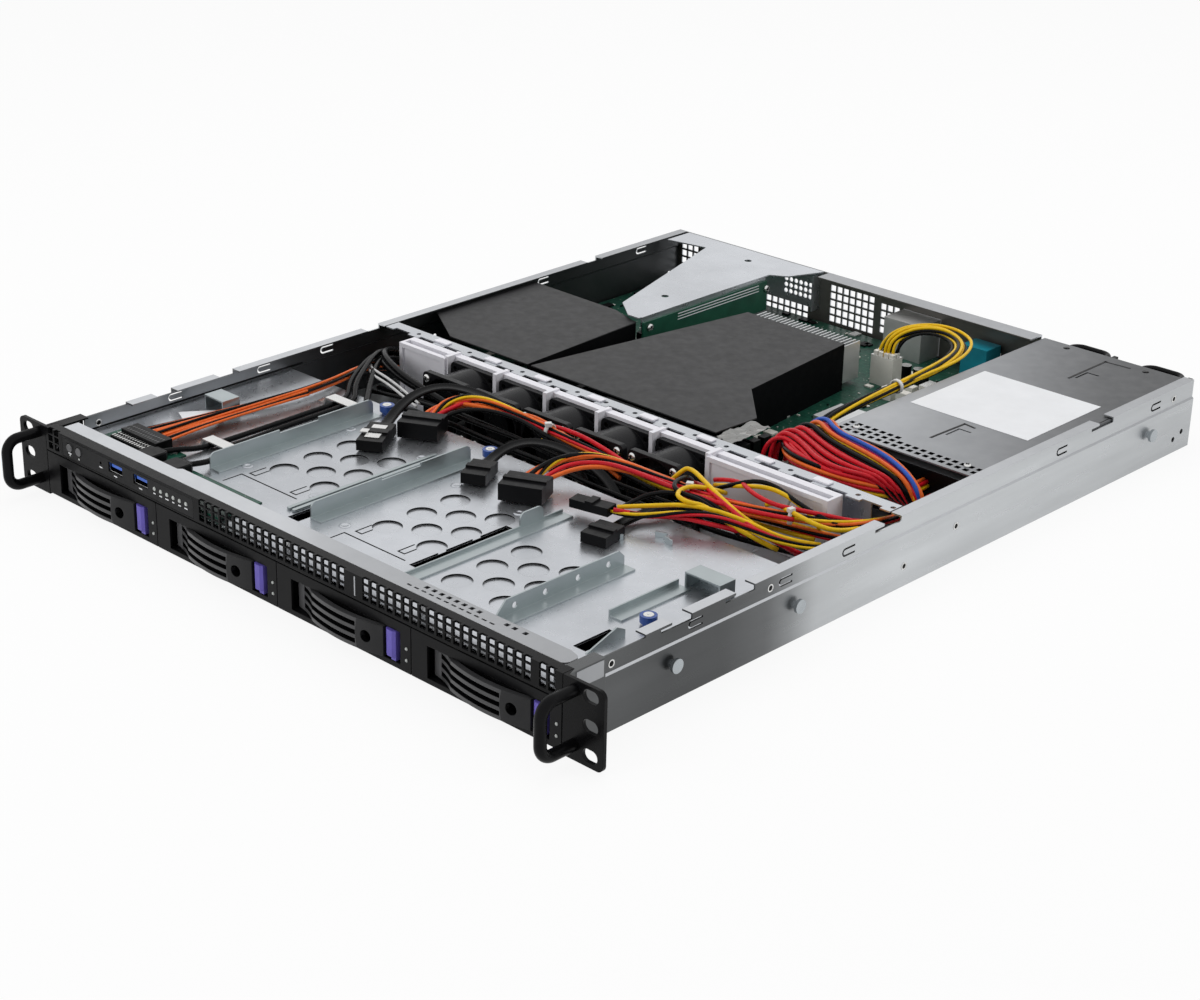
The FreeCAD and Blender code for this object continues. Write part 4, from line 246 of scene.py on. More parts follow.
# A darker copy of the shroud plastic for the shrouds' sides: painted shade.
SHADE = material("shroud_side_shade", (0.0025, 0.0025, 0.003), 0.6, 0, 0.2, 60, 0.05, 0.25, 1500, spec=0.05)
WHITE = material("white_plastic", (0.82, 0.81, 0.86), 0.4, 0, 0.03, 60, 0.05, 0.05, 1600)
IVORY = material("plug_plastic", (0.76, 0.74, 0.68), 0.4, 0, 0.06, 120, 0.05, 0.05, 1600)
VIOLET = material("latch_plastic", (0.135, 0.105, 0.46), 0.42, 0, 0.08, 120, 0.05, 0.06, 2000, spec=0.3)
BLUE = material("knob_plastic", (0.02, 0.07, 0.3), 0.3, 0, 0.08, 120, 0.05, 0.06, 2000)
USB_BLUE = material("tongue_plastic", (0.03, 0.12, 0.55), 0.4, 0, 0.08, 120, 0.05, 0.06, 2000)
TEAL = material("serial_plastic", (0.012, 0.27, 0.36), 0.4, 0, 0.08, 120, 0.05, 0.06, 2000)
BUTTON = material("button_plastic", (0.1, 0.1, 0.105), 0.25, 0, 0.1, 150, 0.05, 0.03, 2400)
RISER = material("riser_mask", (0.012, 0.075, 0.045), 0.38, 0, 0.2, 90, 0.05, 0.05, 900, spec=0.3)
GREEN = board_material("green_board", (0.01, 0.062, 0.04))
PAPER = material("label_paper", (0.8, 0.81, 0.83), 0.5, 0, 0.03, 60, 0.05, 0.06, 1200, edge=0)
TAPE = material("clear_tape", (0.75, 0.75, 0.73), 0.18, 0, 0.05, 200, 0.05, 0.02, 1600, edge=0)
TAPE.node_tree.nodes["Principled BSDF"].inputs["Alpha"].default_value = 0.4
TIE = material("tie_plastic", (0.7, 0.7, 0.69), 0.4, 0, 0.05, 200, 0.05, 0.05, 1600, edge=0)
LAMP = material("lamp_lens", (0.5, 0.52, 0.5), 0.3, 0, 0.06, 300, 0.05, 0.03, 1600, edge=0)
PORT = material("port_metal", (0.55, 0.55, 0.54), 0.45, 0.6, 0.06, 120, 0.05, 0.03, 900)

WIRES = {}
for name, color in (
        ("orange", (0.74, 0.13, 0.018)), ("red", (0.56, 0.008, 0.018)), ("yellow", (0.8, 0.5, 0.008)),
        ("black", (0.0025, 0.0025, 0.003)), ("blue", (0.02, 0.09, 0.45)), ("purple", (0.12, 0.03, 0.26)),
        ("white", (0.55, 0.55, 0.55))):
    WIRES[name] = material("wire_" + name, color, 0.28, 0, 0.08, 160, 0.05, 0.03, 1500, edge=0,
                           spec=0.11 if name == "black" else 0.25)


# Mesh helpers

def from_bmesh(name, bm, mats, body="chassis"):
    """A named piece that rides on a body."""
    bmesh.ops.recalc_face_normals(bm, faces=bm.faces)
    mesh = bpy.data.meshes.new(name)
    bm.to_mesh(mesh)
    bm.free()
    piece = add_object(name, mesh)
    for mat in mats:
        mesh.materials.append(mat)
    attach(piece, body)
    return piece


@contextlib.contextmanager
def piece_of(name, mats, slot, body="chassis"):
    """Holds a mesh to build on, and makes it a piece at the end."""
    bm = bmesh.new()
    yield bm
    from_bmesh(name, bm, mats, body)


def circle(count):
    """Cosine and sine at equal steps round a circle."""
    return [(math.cos(2 * math.pi * i / count), math.sin(2 * math.pi * i / count)) for i in range(count)]


def skin(bm, rings, index=0, smooth=True, closed=True):
    """Faces between rings of equal count, with closed ends."""
    count = len(rings[0])
    for first, second in zip(rings, rings[1:]):
        for side in range(count):
            after = (side + 1) % count
            face = bm.faces.new((first[side], first[after], second[after], second[side]))
            face.material_index = index
            face.smooth = smooth
    if closed:
        for ring in (rings[0][::-1], rings[-1]):
            face = bm.faces.new(ring)
            face.material_index = index


def add_tube(bm, centres, radius, index=0, sides=8):
    """A round tube with closed ends through a list of centre frames."""
    skin(bm, [[bm.verts.new(centre + across * (radius * c) + up * (radius * s)) for c, s in circle(sides)]
              for centre, across, up in centres], index)


def lathe(bm, base, axis, profile, index=0, sides=16):
    """A turned shape: radius and height pairs in millimetres about an axis."""
    axis = Vector(axis).normalized()
    side = axis.orthogonal().normalized()
    other = axis.cross(side)
    skin(bm, [[bm.verts.new(base + axis * (height / 1000) + side * (radius / 1000 * c) + other * (radius / 1000 * s))
               for c, s in circle(sides)] for radius, height in profile], index)


def slab(bm, centre, size, turn=0, index=0, bevel=0.2):
    """A block with chamfered upright edges, turned about the vertical; sizes in millimetres."""
    half_x, half_y, half_z = (value / 2000 for value in size)
    cut = bevel / 1000
    outline = [(-half_x + cut, -half_y), (half_x - cut, -half_y), (half_x, -half_y + cut), (half_x, half_y - cut),
               (half_x - cut, half_y), (-half_x + cut, half_y), (-half_x, half_y - cut), (-half_x, -half_y + cut)]
    spin = Matrix.Rotation(math.radians(turn), 3, "Z")
    inset = 1 - min(cut / max(half_x, 1e-6), 0.3)
    rings = []
    for height, grow in ((-half_z, inset), (-half_z + cut * 0.8, 1), (half_z - cut * 0.8, 1), (half_z, inset)):
        rings.append([bm.verts.new(centre + spin @ Vector((x * grow, y * grow, height))) for x, y in outline])
    skin(bm, rings, index, smooth=False)


# Cables

def spline_line(points):
    """The smooth line of a route: a NURBS spline with the route's points as control points."""
    curve = bpy.data.curves.new("line", "CURVE")
    curve.dimensions = "3D"
    spline = curve.splines.new("NURBS")
    spline.points.add(len(points) - 1)
    for point, place in zip(spline.points, points):
        point.co = (*at(*place), 1)
    spline.order_u = 3
    spline.use_endpoint_u = True
    spline.resolution_u = 8
    holder = add_object("line", curve)
    mesh = bpy.data.meshes.new_from_object(holder)
    line = [vertex.co.copy() for vertex in mesh.vertices]
    bpy.data.meshes.remove(mesh)
    bpy.data.objects.remove(holder)
    bpy.data.curves.remove(curve)
    if (line[0] - at(*points[0])).length > (line[-1] - at(*points[0])).length:
        line.reverse()
    return line


def frames(line):
    """Across and up directions along a line, carried along without twisting."""
    across = None
    made = []
    for index, point in enumerate(line):
        ahead = line[min(index + 1, len(line) - 1)]
        behind = line[max(index - 1, 0)]
        along = (ahead - behind).normalized()
        if across is None:
            across = along.cross(UPWARD)
            if across.length < 0.2:
                across = along.cross(OUTWARD)
        across = (across - along * across.dot(along)).normalized()
        made.append((point, across.copy(), along.cross(across) * -1))
    return made


def strand(bm, path, gauge, index, offset):
    """One wire beside a path; the offset gives its place across and up in millimetres at each share of it."""
    total = len(path) - 1
    centres = []
    for step, (point, across, up) in enumerate(path):
        side, rise = offset(step / total)
        centres.append((point + across * (side / 1000) + up * (rise / 1000), across, up))
    add_tube(bm, centres, gauge / 2000, index)


def twisted(place, turns, phase, sway):
    """A place in the bundle that winds slowly round its middle."""
    def offset(t):
        angle = 2 * math.pi * turns * t
        wave = sway * math.sin(phase + 7 * t) * min(1, 8 * t, 8 * (1 - t))
        a, b = place
        return (a * math.cos(angle) - b * math.sin(angle) + wave,
                a * math.sin(angle) + b * math.cos(angle) + wave / 2)
    return offset


WIRE_SWAY = 0.25


def bundle(name, node, points, diameter, gauge, colors, turns):
    """A cord of several wires in place of the construction's cable node; the wires that spread wider from it are
    pieces made apart.
    """
    line = spline_line(points)
    path = frames(line)
    palette = sorted(set(colors))
    bm = bmesh.new()
    radius = diameter / 2 - gauge / 2
    for color, (c, s) in zip(colors, circle(len(colors))):
        place = (radius * c, radius * s)
        strand(bm, path, gauge, palette.index(color), twisted(place, turns, rng.uniform(0, 6.28), WIRE_SWAY))
    piece = from_bmesh(name, bm, [WIRES[color] for color in palette])
    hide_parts(node)
    return path


def flat_cable(name, node, points, width, thick):
    """A flat black cable with a raised bead along each edge."""
    line = spline_line(points)
    lower = [(-0.5, -0.35), (-0.42, -0.5), (-0.3, -0.32), (0.3, -0.32), (0.42, -0.5), (0.5, -0.35)]
    outline = lower + [(a, -b) for a, b in reversed(lower)]
    bm = bmesh.new()
    skin(bm, [[bm.verts.new(point + across * (a * width / 1000) + up * (b * thick / 1000)) for a, b in outline]
              for point, across, up in frames(line)])
    piece = from_bmesh(name, bm, [WIRES["black"]])
    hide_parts(node)


def loose_wires(name, wires):
    """Wires of a bundle that leave it in loops of their own: colour, gauge and control points, in millimetres."""
    palette = sorted({color for color, _, _ in wires})
    bm = bmesh.new()
    for color, gauge, points in wires:
        add_tube(bm, frames(spline_line(points)), gauge / 2000, palette.index(color))
    return from_bmesh(name, bm, [WIRES[color] for color in palette])


def cable_ties(name, places):
    """Narrow plastic ties: a ring about a point of a cable, with its square head."""
    bm = bmesh.new()
    for path, share, radius in places:
        point, across, up = path[int(share * (len(path) - 1))]
        along = across.cross(up).normalized()
        rings = []
        for shift, grow in ((-1.1, 0), (-1.1, 0.9), (1.1, 0.9), (1.1, 0)):
            reach = (radius + grow) / 1000
            rings.append([bm.verts.new(point + along * (shift / 1000) + across * (reach * c) + up * (reach * s))
                          for c, s in circle(20)])
        skin(bm, rings + rings[:1], closed=False)
        slab(bm, point + up * ((radius + 1.4) / 1000), (4, 3.2, 2.4), rng.uniform(0, 90))
    return from_bmesh(name, bm, [TIE])


# Cable routes, from the construction

FRONT_ROUTE = (
    (-170, 47, 37.4), (-170, 66, 37.4), (-168.6, 95, 37.4), (-165, 126, 38), (-162, 156, 38.4), (-165, 184, 37.6),
    (-174, 210, 35), (-185, 234, 29), (-190, 258, 19.6), (-190, 279, 12.5), (-190, 298, 12.5))
SATA_ROUTE_1 = (
    (-87.95, 154.72, 36.4), (-93.25, 163.2, 36.4), (-98.5, 177, 40.6), (-100.5, 193, 44.8), (-95, 209, 46.6),
    (-80, 218.5, 45.4), (-55, 221, 42.4), (-30, 220.5, 38.6), (-8, 218, 34), (10, 213.5, 29.5), (27, 207, 24.5),
    (38, 199, 21.5), (43, 190, 20.2), (43, 183.6, 20.2))
SATA_ROUTE_2 = (
    (-4, 158.8, 36.6), (-8.54, 167.71, 36.6), (-8, 180, 40.6), (-2, 192, 42.6), (11, 200, 41.6), (28, 204, 38),
    (46, 204, 32.4), (58, 201, 27.5), (66.5, 196, 23.4), (70, 189.4, 21), (70, 183.6, 21))
SATA_ROUTE_3 = (
    (103.9, 150.8, 34.4), (101.7, 161.15, 34.4), (103, 173, 35.6), (108, 185, 37.6), (114.5, 194.5, 36),
    (120.5, 199, 30.6), (125, 197, 24.4), (127, 190.4, 21), (127, 183.6, 21))
DRIVE_ROUTE_1 = (
    (-74.7, 178.83, 38.6), (-79.4, 187.66, 38.6), (-81, 199, 42.4), (-74, 209, 45.2), (-60, 213.5, 46.2),
    (-36, 213, 45.4), (-8, 212.5, 43), (20, 213.5, 39.6), (46, 216, 36), (74, 217.5, 33.4), (102, 219, 32),
    (130, 224, 31), (156, 231, 30), (179, 240, 27), (194, 254, 22.6), (199.6, 274, 18.6), (200.4, 298, 15.4),
    (200, 320, 14.2), (200, 337, 14.2))
DRIVE_ROUTE_2 = (
    (34.22, 157.99, 38.6), (29.84, 166.98, 38.6), (29, 178, 42), (34, 190, 45), (47, 199.5, 45.8),
    (68, 203.5, 44.8), (94, 205, 43), (120, 208.5, 41.4), (144, 215, 40.4), (166, 224, 39.4), (184, 235, 37.8),
    (195, 250, 35.6), (199.6, 270, 33.6), (200.4, 294, 32), (200, 318, 30.8), (200, 337, 30.8))
DRIVE_ROUTE_3 = (
    (93.73, 161.1, 39), (104.48, 163.38, 39), (116, 169.5, 40.4), (127, 181, 42), (141, 191.5, 42),
    (160, 196, 39.8), (177, 203, 35), (190, 218, 29.4), (197.6, 238, 27.2), (200.4, 262, 26.4), (200.6, 288, 24.4),
    (200, 314, 22.6), (200, 337, 22.6))
MAIN_ROUTE = (
    (174, 337, 27), (174, 321, 27), (170.5, 304, 31), (157, 291.5, 36), (138, 286.5, 39), (119, 289, 40),
    (106, 297, 39.6), (97, 308, 38.6), (91.5, 315.5, 35.6), (89, 318.5, 30), (89, 318.5, 20.6))
CPU_ROUTE = (
    (30, 491, 27.6), (30, 491, 35), (33.6, 496.6, 41.2), (42, 505, 45.2), (56, 510.5, 46.6), (71, 507, 46.4),
    (83, 497, 46), (90, 481, 45.4), (93, 459, 44.8), (94, 433, 44.4), (94, 406, 43.8), (93, 380, 42.4),
    (92, 358, 40.4), (92.5, 344, 38.6), (92.5, 329.4, 36.6), (98.95, 323, 35.4), (108.05, 323, 34.4),
    (114.5, 329.4, 33.4), (114.5, 337, 33.4))


# Cables as they lie

def beside(route, start, middle, end):
    """Control points of a wire that runs beside a route, with its offsets at the start, middle and end."""
    made = []
    last = len(route) - 1
    for step, point in enumerate(route):
        t = step / last
        shares = ((1 - t) ** 2, 2 * t * (1 - t), t ** 2)
        made.append(tuple(p + sum(share * offset[axis] for share, offset in zip(shares, (start, middle, end)))
                          for axis, p in enumerate(point)))
    return made


PANEL_WIRES = 11
front_spread = []
for n in range(PANEL_WIRES):
    color = "black" if n in (1, 9) else "orange"
    place = -12 + 2.4 * n
    front_spread.append((color, 1.7, beside(
        FRONT_ROUTE[:5], (place, 0.6 * (n % 2), 0.9 * (n % 2)), (place * 0.62, 0, rng.uniform(-0.6, 0.8)),
        (place * 0.26, 0, rng.uniform(-1.2, 1.2)))))
front_spread += [
    ("black", 3.6, ((-123.2, 33, 37), (-117.5, 42, 37.4), (-122, 54, 35), (-131.6, 64, 34), (-132.4, 76, 34),
        (-133.6, 113.9, 34.4), (-135, 155, 34), (-136, 174, 34.2), (-150, 186, 37), (-162, 202, 38.6),
        (-181, 229, 38.6), (-190, 246, 35.5), (-193, 262, 27), (-193, 280, 18))),
    ("black", 3.6, ((-149, 33, 37), (-147, 44, 36.6), (-142.6, 58, 34), (-141.6, 76, 34), (-141, 100, 34.2),
        (-142, 155, 34), (-143, 174, 34), (-158, 188, 36), (-172, 208, 36.5), (-187, 234, 36), (-194, 252, 31),
        (-195, 268, 22))),
    ("black", 4.2, ((-128, 176, 34.2), (-142, 190, 35), (-156, 205, 36), (-174, 226, 36), (-186, 246, 32),
        (-190, 266, 22))),
    ("black", 4.2, ((-194, 262, 30), (-188, 246, 36.6), (-176, 233, 39.4), (-158, 224, 39.4), (-138, 218, 38),
        (-112, 214, 36), (-84, 212, 33))),
    ("black", 4.2, ((-195, 258, 26), (-186, 238, 33), (-168, 227, 35.6), (-145, 220, 34.6), (-115, 216, 33),
        (-84, 216, 31))),
    ("white", 1.7, ((-186, 232, 30), (-176, 221, 35), (-163, 213, 37.6), (-144, 208.6, 38), (-124, 204, 36.6),
        (-106, 200, 34))),
    ("white", 1.7, ((-184, 228, 29), (-172, 217, 34.6), (-159, 208, 36.6), (-140, 204, 37), (-120, 199, 35.6),
        (-104, 196, 33.6))),
    ("black", 2.4, ((-183, 47.5, 37.4), (-184, 70, 35), (-178, 110, 34.6), (-170, 150, 36.4), (-172, 190, 36),
        (-182, 222, 31)))]
front_loose = loose_wires("front_panel_loose", front_spread)
bundle("front_panel_wires", "front_panel_cable", FRONT_ROUTE, 6, 1.7, ["orange", "black"] * 3, 0.5)

for number, route in enumerate((SATA_ROUTE_1, SATA_ROUTE_2, SATA_ROUTE_3), 1):
    flat_cable("sata_lead_%d" % number, "sata_cable_%d" % number, route, width=6.8, thick=2.2)

DRIVE_COLORS = ("black", "orange", "red", "black", "orange", "yellow")
drive_loose_1 = loose_wires("drive_loose_1", [
    ("orange", 2.7, ((-80.5, 178, 38), (-85.5, 189.4, 39), (-80.3, 203.2, 42), (-56.7, 209.8, 43),
        (-40.3, 216.1, 42), (-30.5, 225, 41), (-3.4, 222.2, 38), (26.3, 217.5, 34), (52, 212, 30))),
    ("red", 2.7, ((-72, 177, 38.6), (-76, 184.9, 39), (-72.5, 207.8, 43), (-65.6, 214.9, 45), (-44.6, 215.1, 46),
        (-17.8, 212.6, 44), (4.5, 222, 42.6), (37, 221.8, 38), (66, 214, 36), (88, 218, 34))),
    ("black", 2.7, ((-67, 177, 38.6), (-70, 190, 41), (-58, 204, 44), (-30, 209, 45), (-6, 207, 42), (22, 210, 37),
        (50, 214, 33), (80, 212, 31))),
    ("orange", 2.7, ((-76, 178, 36.4), (-84, 194, 37), (-72, 214, 40.6), (-48, 220, 41), (-20, 219, 39.4),
        (12, 220, 36), (40, 215, 31))),
    ("yellow", 2.7, ((86.6, 217.6, 38), (91.5, 219.2, 44), (94.7, 223.7, 47), (117.7, 213.3, 46), (141, 204.8, 43),
        (154.4, 205.7, 38), (159.2, 213.3, 32), (157, 223.8, 24))),
    ("red", 2.7, ((98, 224, 38), (110.1, 215.6, 44), (133.9, 205.8, 44), (160.8, 200.1, 38), (174.9, 205.4, 32),
        (183.4, 215.9, 25))),
    ("red", 2.7, ((104.5, 225, 38), (122, 213, 42), (138.6, 207.8, 41), (160.1, 204.7, 36), (172.2, 210.9, 29),
        (178.5, 219.2, 22))),
    ("black", 2.7, ((93.5, 228, 36), (99.4, 219.5, 44), (102.1, 203.7, 47), (108.2, 194.8, 47), (117.4, 193.9, 46),
        (124.9, 199.8, 43), (139.6, 199.5, 39), (154.5, 197, 33))),
    ("black", 2.7, ((-150, 200, 30), (-110, 206, 33), (-60, 203, 34), (-10, 208, 33), (40, 205, 30), (90, 208, 29),
        (140, 214, 28), (180, 224, 26))),
    ("black", 3.4, ((-160, 214, 26), (-110, 214, 30), (-60, 213, 30), (-10, 214, 28), (40, 211, 26), (90, 213, 25),
        (140, 218, 25), (186, 236, 22))),
    ("black", 3.4, ((-130, 196, 28), (-90, 198, 31), (-40, 197, 30), (10, 199, 29), (60, 197, 27), (110, 201, 27),
        (150, 206, 25), (192, 228, 20))),
    ("yellow", 2.7, ((-20, 221, 30), (20, 222, 31), (60, 222, 29), (100, 224, 27), (140, 226, 26), (176, 236, 25))),
    ("white", 1.8, ((140, 240, 20), (150, 243, 32), (152, 243, 40), (160, 240, 42), (170, 236, 36)))])
path_1 = bundle("drive_wires_1", "drive_power_cable_1", DRIVE_ROUTE_1, 5, 1.9, DRIVE_COLORS, 2.2)

drive_loose_2 = loose_wires("drive_loose_2", [
    ("orange", 2.7, ((27, 157, 38.6), (23.5, 172.3, 40), (32, 186.1, 43), (46.1, 198.3, 46), (59.9, 204, 46),
        (79.2, 208.8, 43), (98.8, 216.3, 39), (116, 222, 34))),
    ("red", 2.7, ((38, 159, 38.6), (36, 170, 40), (40, 184, 44), (56, 194, 46.6), (76, 198, 46), (98, 200, 44),
        (122, 203, 43), (148, 208, 42), (172, 222, 40))),
    ("black", 2.7, ((31, 159, 40.6), (27, 174, 43), (36, 192, 46.6), (54, 203, 46.4), (78, 204, 44.4),
        (102, 208, 41), (128, 213, 38))),
    ("orange", 2.7, ((42, 159, 40), (42, 174, 42), (52, 190, 44.6), (72, 200, 44), (96, 212, 38), (120, 219, 35))),
    ("yellow", 2.7, ((120, 226, 38), (118.7, 212.3, 45), (111.7, 202, 47), (114.8, 188.8, 47), (125.3, 186.9, 46),
        (131.2, 194.5, 44), (142.4, 196.2, 39), (162.6, 198.3, 34), (173.6, 207.4, 27))),
    ("red", 2.7, ((106, 232, 40), (120.8, 235.6, 44), (140.1, 224, 45), (157, 222.4, 44), (167.9, 227.8, 43),
        (182.7, 239.6, 40), (193.1, 251.5, 36), (197, 268, 33))),
    ("yellow", 2.7, ((146, 230, 38), (152.2, 228.4, 42), (168.1, 223.8, 43), (186.9, 223.1, 41),
        (195.9, 230.6, 38), (196.3, 255.1, 33), (195, 270, 30))),
    ("black", 2.7, ((112, 226, 38), (125.9, 229.6, 45), (134.1, 238.4, 46.4), (146.6, 240.4, 45),
        (163.2, 235.4, 43), (186.4, 235, 39), (192, 245.3, 34), (196, 262, 30))),
    ("yellow", 2.7, ((108, 230, 38), (126.9, 228.6, 43.6), (140.2, 235, 45.6), (152.5, 237, 44.6),
        (169.2, 237.8, 39), (176.5, 240, 30)))])
path_2 = bundle("drive_wires_2", "drive_power_cable_2", DRIVE_ROUTE_2, 5, 1.9, DRIVE_COLORS, 2)

drive_loose_3 = loose_wires("drive_loose_3", [
    ("black", 2.7, ((93.7, 164, 38), (93.5, 178, 39), (96.9, 186.5, 42), (106.6, 195.3, 44), (123.5, 203.3, 43),
        (139.8, 202.9, 39), (160.7, 200.8, 31))),
    ("red", 2.7, ((96, 160, 40.6), (112, 169, 39), (125.5, 181.7, 39), (142.9, 188.6, 38), (154, 197.5, 35),
        (161.7, 207.1, 28))),
    ("yellow", 2.7, ((95, 164, 40.6), (110, 176, 42.6), (124, 188, 44), (140, 196, 43), (158, 203, 39),
        (176, 212, 32), (188, 226, 29)))])
bundle("drive_wires_3", "drive_power_cable_3", DRIVE_ROUTE_3, 4, 1.8, ["yellow", "black", "red", "black"], 1.8)

MAIN_COLORS = ("red", "red", "black", "red", "red", "black", "red", "red", "black", "red", "black", "black", "black",
               "orange", "yellow", "red", "blue", "purple", "orange")
PIN_X, PIN_PITCH = 86.9, 4.2
main_spread = []
for n, color in enumerate(MAIN_COLORS):
    u = n / (len(MAIN_COLORS) - 1)
    pin = PIN_X + PIN_PITCH * (n % 2)
    lift = (0, 2.4, -1.6)[n % 3]
    main_spread.append((color, 2.7, (
        (pin, 296 + 45 * u, 21.6), (pin, 297 + 45 * u, 36 + lift), (96 + 4 * u, 302 + 42 * u, 44.6 + lift),
        (114 + 2 * u, 298 + 34 * u, 43 + lift), (134 + 8 * u, 286 + 45 * u, 42 + lift),
        (152 + 12 * u, 287 + 38 * u, 41 + lift), (167 + 20 * u, 299 + 14 * u, 38 + lift),
        (174 + 20 * u, 306 + 6 * u, 27), (178 + 12 * u, 318, 19), (180 + 4 * u, 336, 20 + lift))))
main_loose = loose_wires("main_loose", main_spread)
bundle("main_wires", "main_power_harness", MAIN_ROUTE, 9, 2.4,
       ["red", "black", "orange", "red", "yellow", "black", "blue", "red"], 0.6)

cpu_loose = loose_wires("cpu_loose", [
    ("yellow", 2.1, beside(CPU_ROUTE, (-6, 0, 0), (2, 2, -1.5), (0, 0, 2))),
    ("yellow", 2.1, beside(CPU_ROUTE, (5, 0, 0), (-4, 4, -2), (2, 0, 0))),
    ("black", 2.1, beside(CPU_ROUTE, (-5, 4, 0), (4, -3, -2.5), (-2, 0, 1))),
    ("black", 2.1, beside(CPU_ROUTE, (6, 4, 0), (-2, 5, -4), (0, 0, -2))),
    ("yellow", 2.1, ((24, 491, 28), (26, 492, 38), (34, 500, 46), (48, 512, 49), (66, 516, 49), (84, 508, 48),
        (93, 492, 47), (97, 472, 46), (96, 440, 45.4), (95.5, 406, 44.6), (94, 380, 43))),
    ("black", 2.1, ((35.6, 493, 28), (37, 494, 37), (44, 501, 43.6), (56, 505, 46), (70, 502, 46), (80, 493, 45.6),
        (86, 477, 45), (89, 456, 44.4), (90, 430, 44), (90.5, 404, 43.4), (90, 382, 42)))])
path_cpu = bundle("cpu_wires", "cpu_power_cable", CPU_ROUTE, 6.5, 2.1,
                  ["yellow", "black", "yellow", "yellow", "black", "black"], 1.2)

cable_ties("cable_tie_rings", [(path_cpu, 0.54, 3.7), (path_1, 0.33, 3.4), (path_2, 0.62, 3.6), (path_2, 0.44, 3.4)])


# Surfaces of the construction's own nodes

def dress(names, mat):
    """Gives nodes one material all over."""
    for name in names:
        mesh = NODES[name].data
        mesh.materials.clear()
        mesh.materials.append(mat)


def paint(name, mat, test):
    """Gives a material to the faces of a node whose middle, in millimetres, and normal pass a test."""
    mesh = NODES[name].data
    mesh.materials.append(mat)
    place = NODES[name].matrix_world
    for polygon in mesh.polygons:
        middle = place @ polygon.center * 1000
        middle.y += MIDDLE_Y
        if test(middle, polygon.normal):
            polygon.material_index = len(mesh.materials) - 1


def boxed(left, front, width, length, low, high=60, slack=0.3):
    """A test for faces inside a box."""
    return lambda p, n: (left - slack < p.x < left + width + slack and front - slack < p.y < front + length + slack
                         and low < p.z < high)


# The walls carry the painted shade of their sheet towards the front.
dress(["chassis_pan"], WALL_STEEL)
dress(["rear_panel", "drive_cage", "fan_bracket", "riser_bracket", "slot_cover"], STEEL)
# The top rail's sheet carries painted shade towards the right and rear.
dress(["front_top_rail"], STRIP_STEEL)
dress(["device_rails"], RAIL_STEEL)
# The power supply's cage and modules carry this painted shade.
dress(["psu_cage", "psu_module_1", "psu_module_2"], PSU_STEEL)
dress(["usb_ports", "cable_straps"], BRIGHT)
dress(["rail_studs"], STUD)
dress(["io_ports"], PORT)
dress(["heatsink"], SINK)
dress(["rack_ears", "ear_handles", "front_grille"], COAT)
dress(["control_panel"], PANEL)
dress(["power_button", "reset_button"], BUTTON)
dress(["drive_plugs", "psu_latch_1", "psu_latch_2"], BLACK)
dress(["fan_frames"] + ["fan_rotor_%d" % n for n in range(1, 6)], FAN)
dress(["fan_housing"], WHITE)
dress(["air_shroud_left", "air_shroud_cpu"], SHROUD)
dress(["motherboard", "front_panel_board", "drive_backplane"], GREEN)
dress(["riser_card"], RISER)
dress(["thumbscrews"], BLUE)

PLUGS = ((84, 293, 10, 52), (21, 486, 18, 10), (44, 468, 8, 6), (56, 468, 8, 6), (48, 480, 12, 6), (62, 484, 6, 12),
         (-199, 298, 18, 8))
CAPACITORS = (-62, 488, 130, 30)
CAPACITOR_TOP = 16.5
paint("motherboard", BLACK, lambda p, n: p.z > PARTS_Z)
for plug in PLUGS:
    paint("motherboard", IVORY, boxed(*plug, PARTS_Z))
paint("motherboard", SINK, boxed(46, 396, 28, 28, PARTS_Z))
paint("motherboard", BRIGHT, lambda p, n: p.z > CAPACITOR_TOP and n.z > SQUARE and boxed(*CAPACITORS, PARTS_Z)(p, n))
paint("front_panel_board", BLACK, lambda p, n: p.z > 34.4)
paint("drive_backplane", BLACK, lambda p, n: p.y < 174.8 or p.y > 176.8)
RISER_X = -100.2
paint("riser_card", BLACK, lambda p, n: abs(p.x - RISER_X) > 1 and p.z > 14)
# Painted shade: the left wall's inner face gets the darkened inner sheet.
paint("chassis_pan", INNER_STEEL, lambda p, n: n.x > FACING and p.x < -WALL_X)
# Painted light: the walls' top rims get the lighter flange sheet, and the up-facing jog faces on the right wall get
# it as a painted highlight.
paint("chassis_pan", FLANGE_STEEL, lambda p, n: n.z > FACING and (p.z > RIM_Z or p.x > 213 and 31 < p.z < 33))
# Painted shade: the rear panel's forward-facing inner face gets the darker sheet.
paint("rear_panel", REAR_STEEL, lambda p, n: n.y < -FACING)
# Painted light on the rear panel's top rim: the flange sheet, with its painted shade towards the rear.
paint("rear_panel", FLANGE_STEEL, lambda p, n: n.z > FACING and p.z > RIM_Z)
# The right ear's side and top take the walls' sheet, with its painted shade at the front.
paint("rack_ears", WALL_STEEL, lambda p, n: p.x > 216 and n.x > FACING and 3 < p.y < 27)
paint("rack_ears", WALL_STEEL, lambda p, n: p.x > WALL_X and n.z > FACING and 9 < p.y < 27)
# Painted highlight: the forward faces of the top rail and of the drive cage's front, seen through the grille, get
# the brighter sheet.
paint("front_top_rail", GLINT, lambda p, n: n.y < -SQUARE)
paint("drive_cage", GLINT, lambda p, n: n.y < -SQUARE and p.y < 12 and p.z > 26)
# Painted shade: the walls of the tongue slits in the right wall get black plastic.
TONGUES = (95.6, 165.5, 217.6, 416.6, 517.5)
paint("chassis_pan", BLACK, lambda p, n: p.x > WALL_X and abs(n.x) < 0.6 and 33 < p.z < 41.6
      and any(abs(p.y - y) < 14 for y in TONGUES))
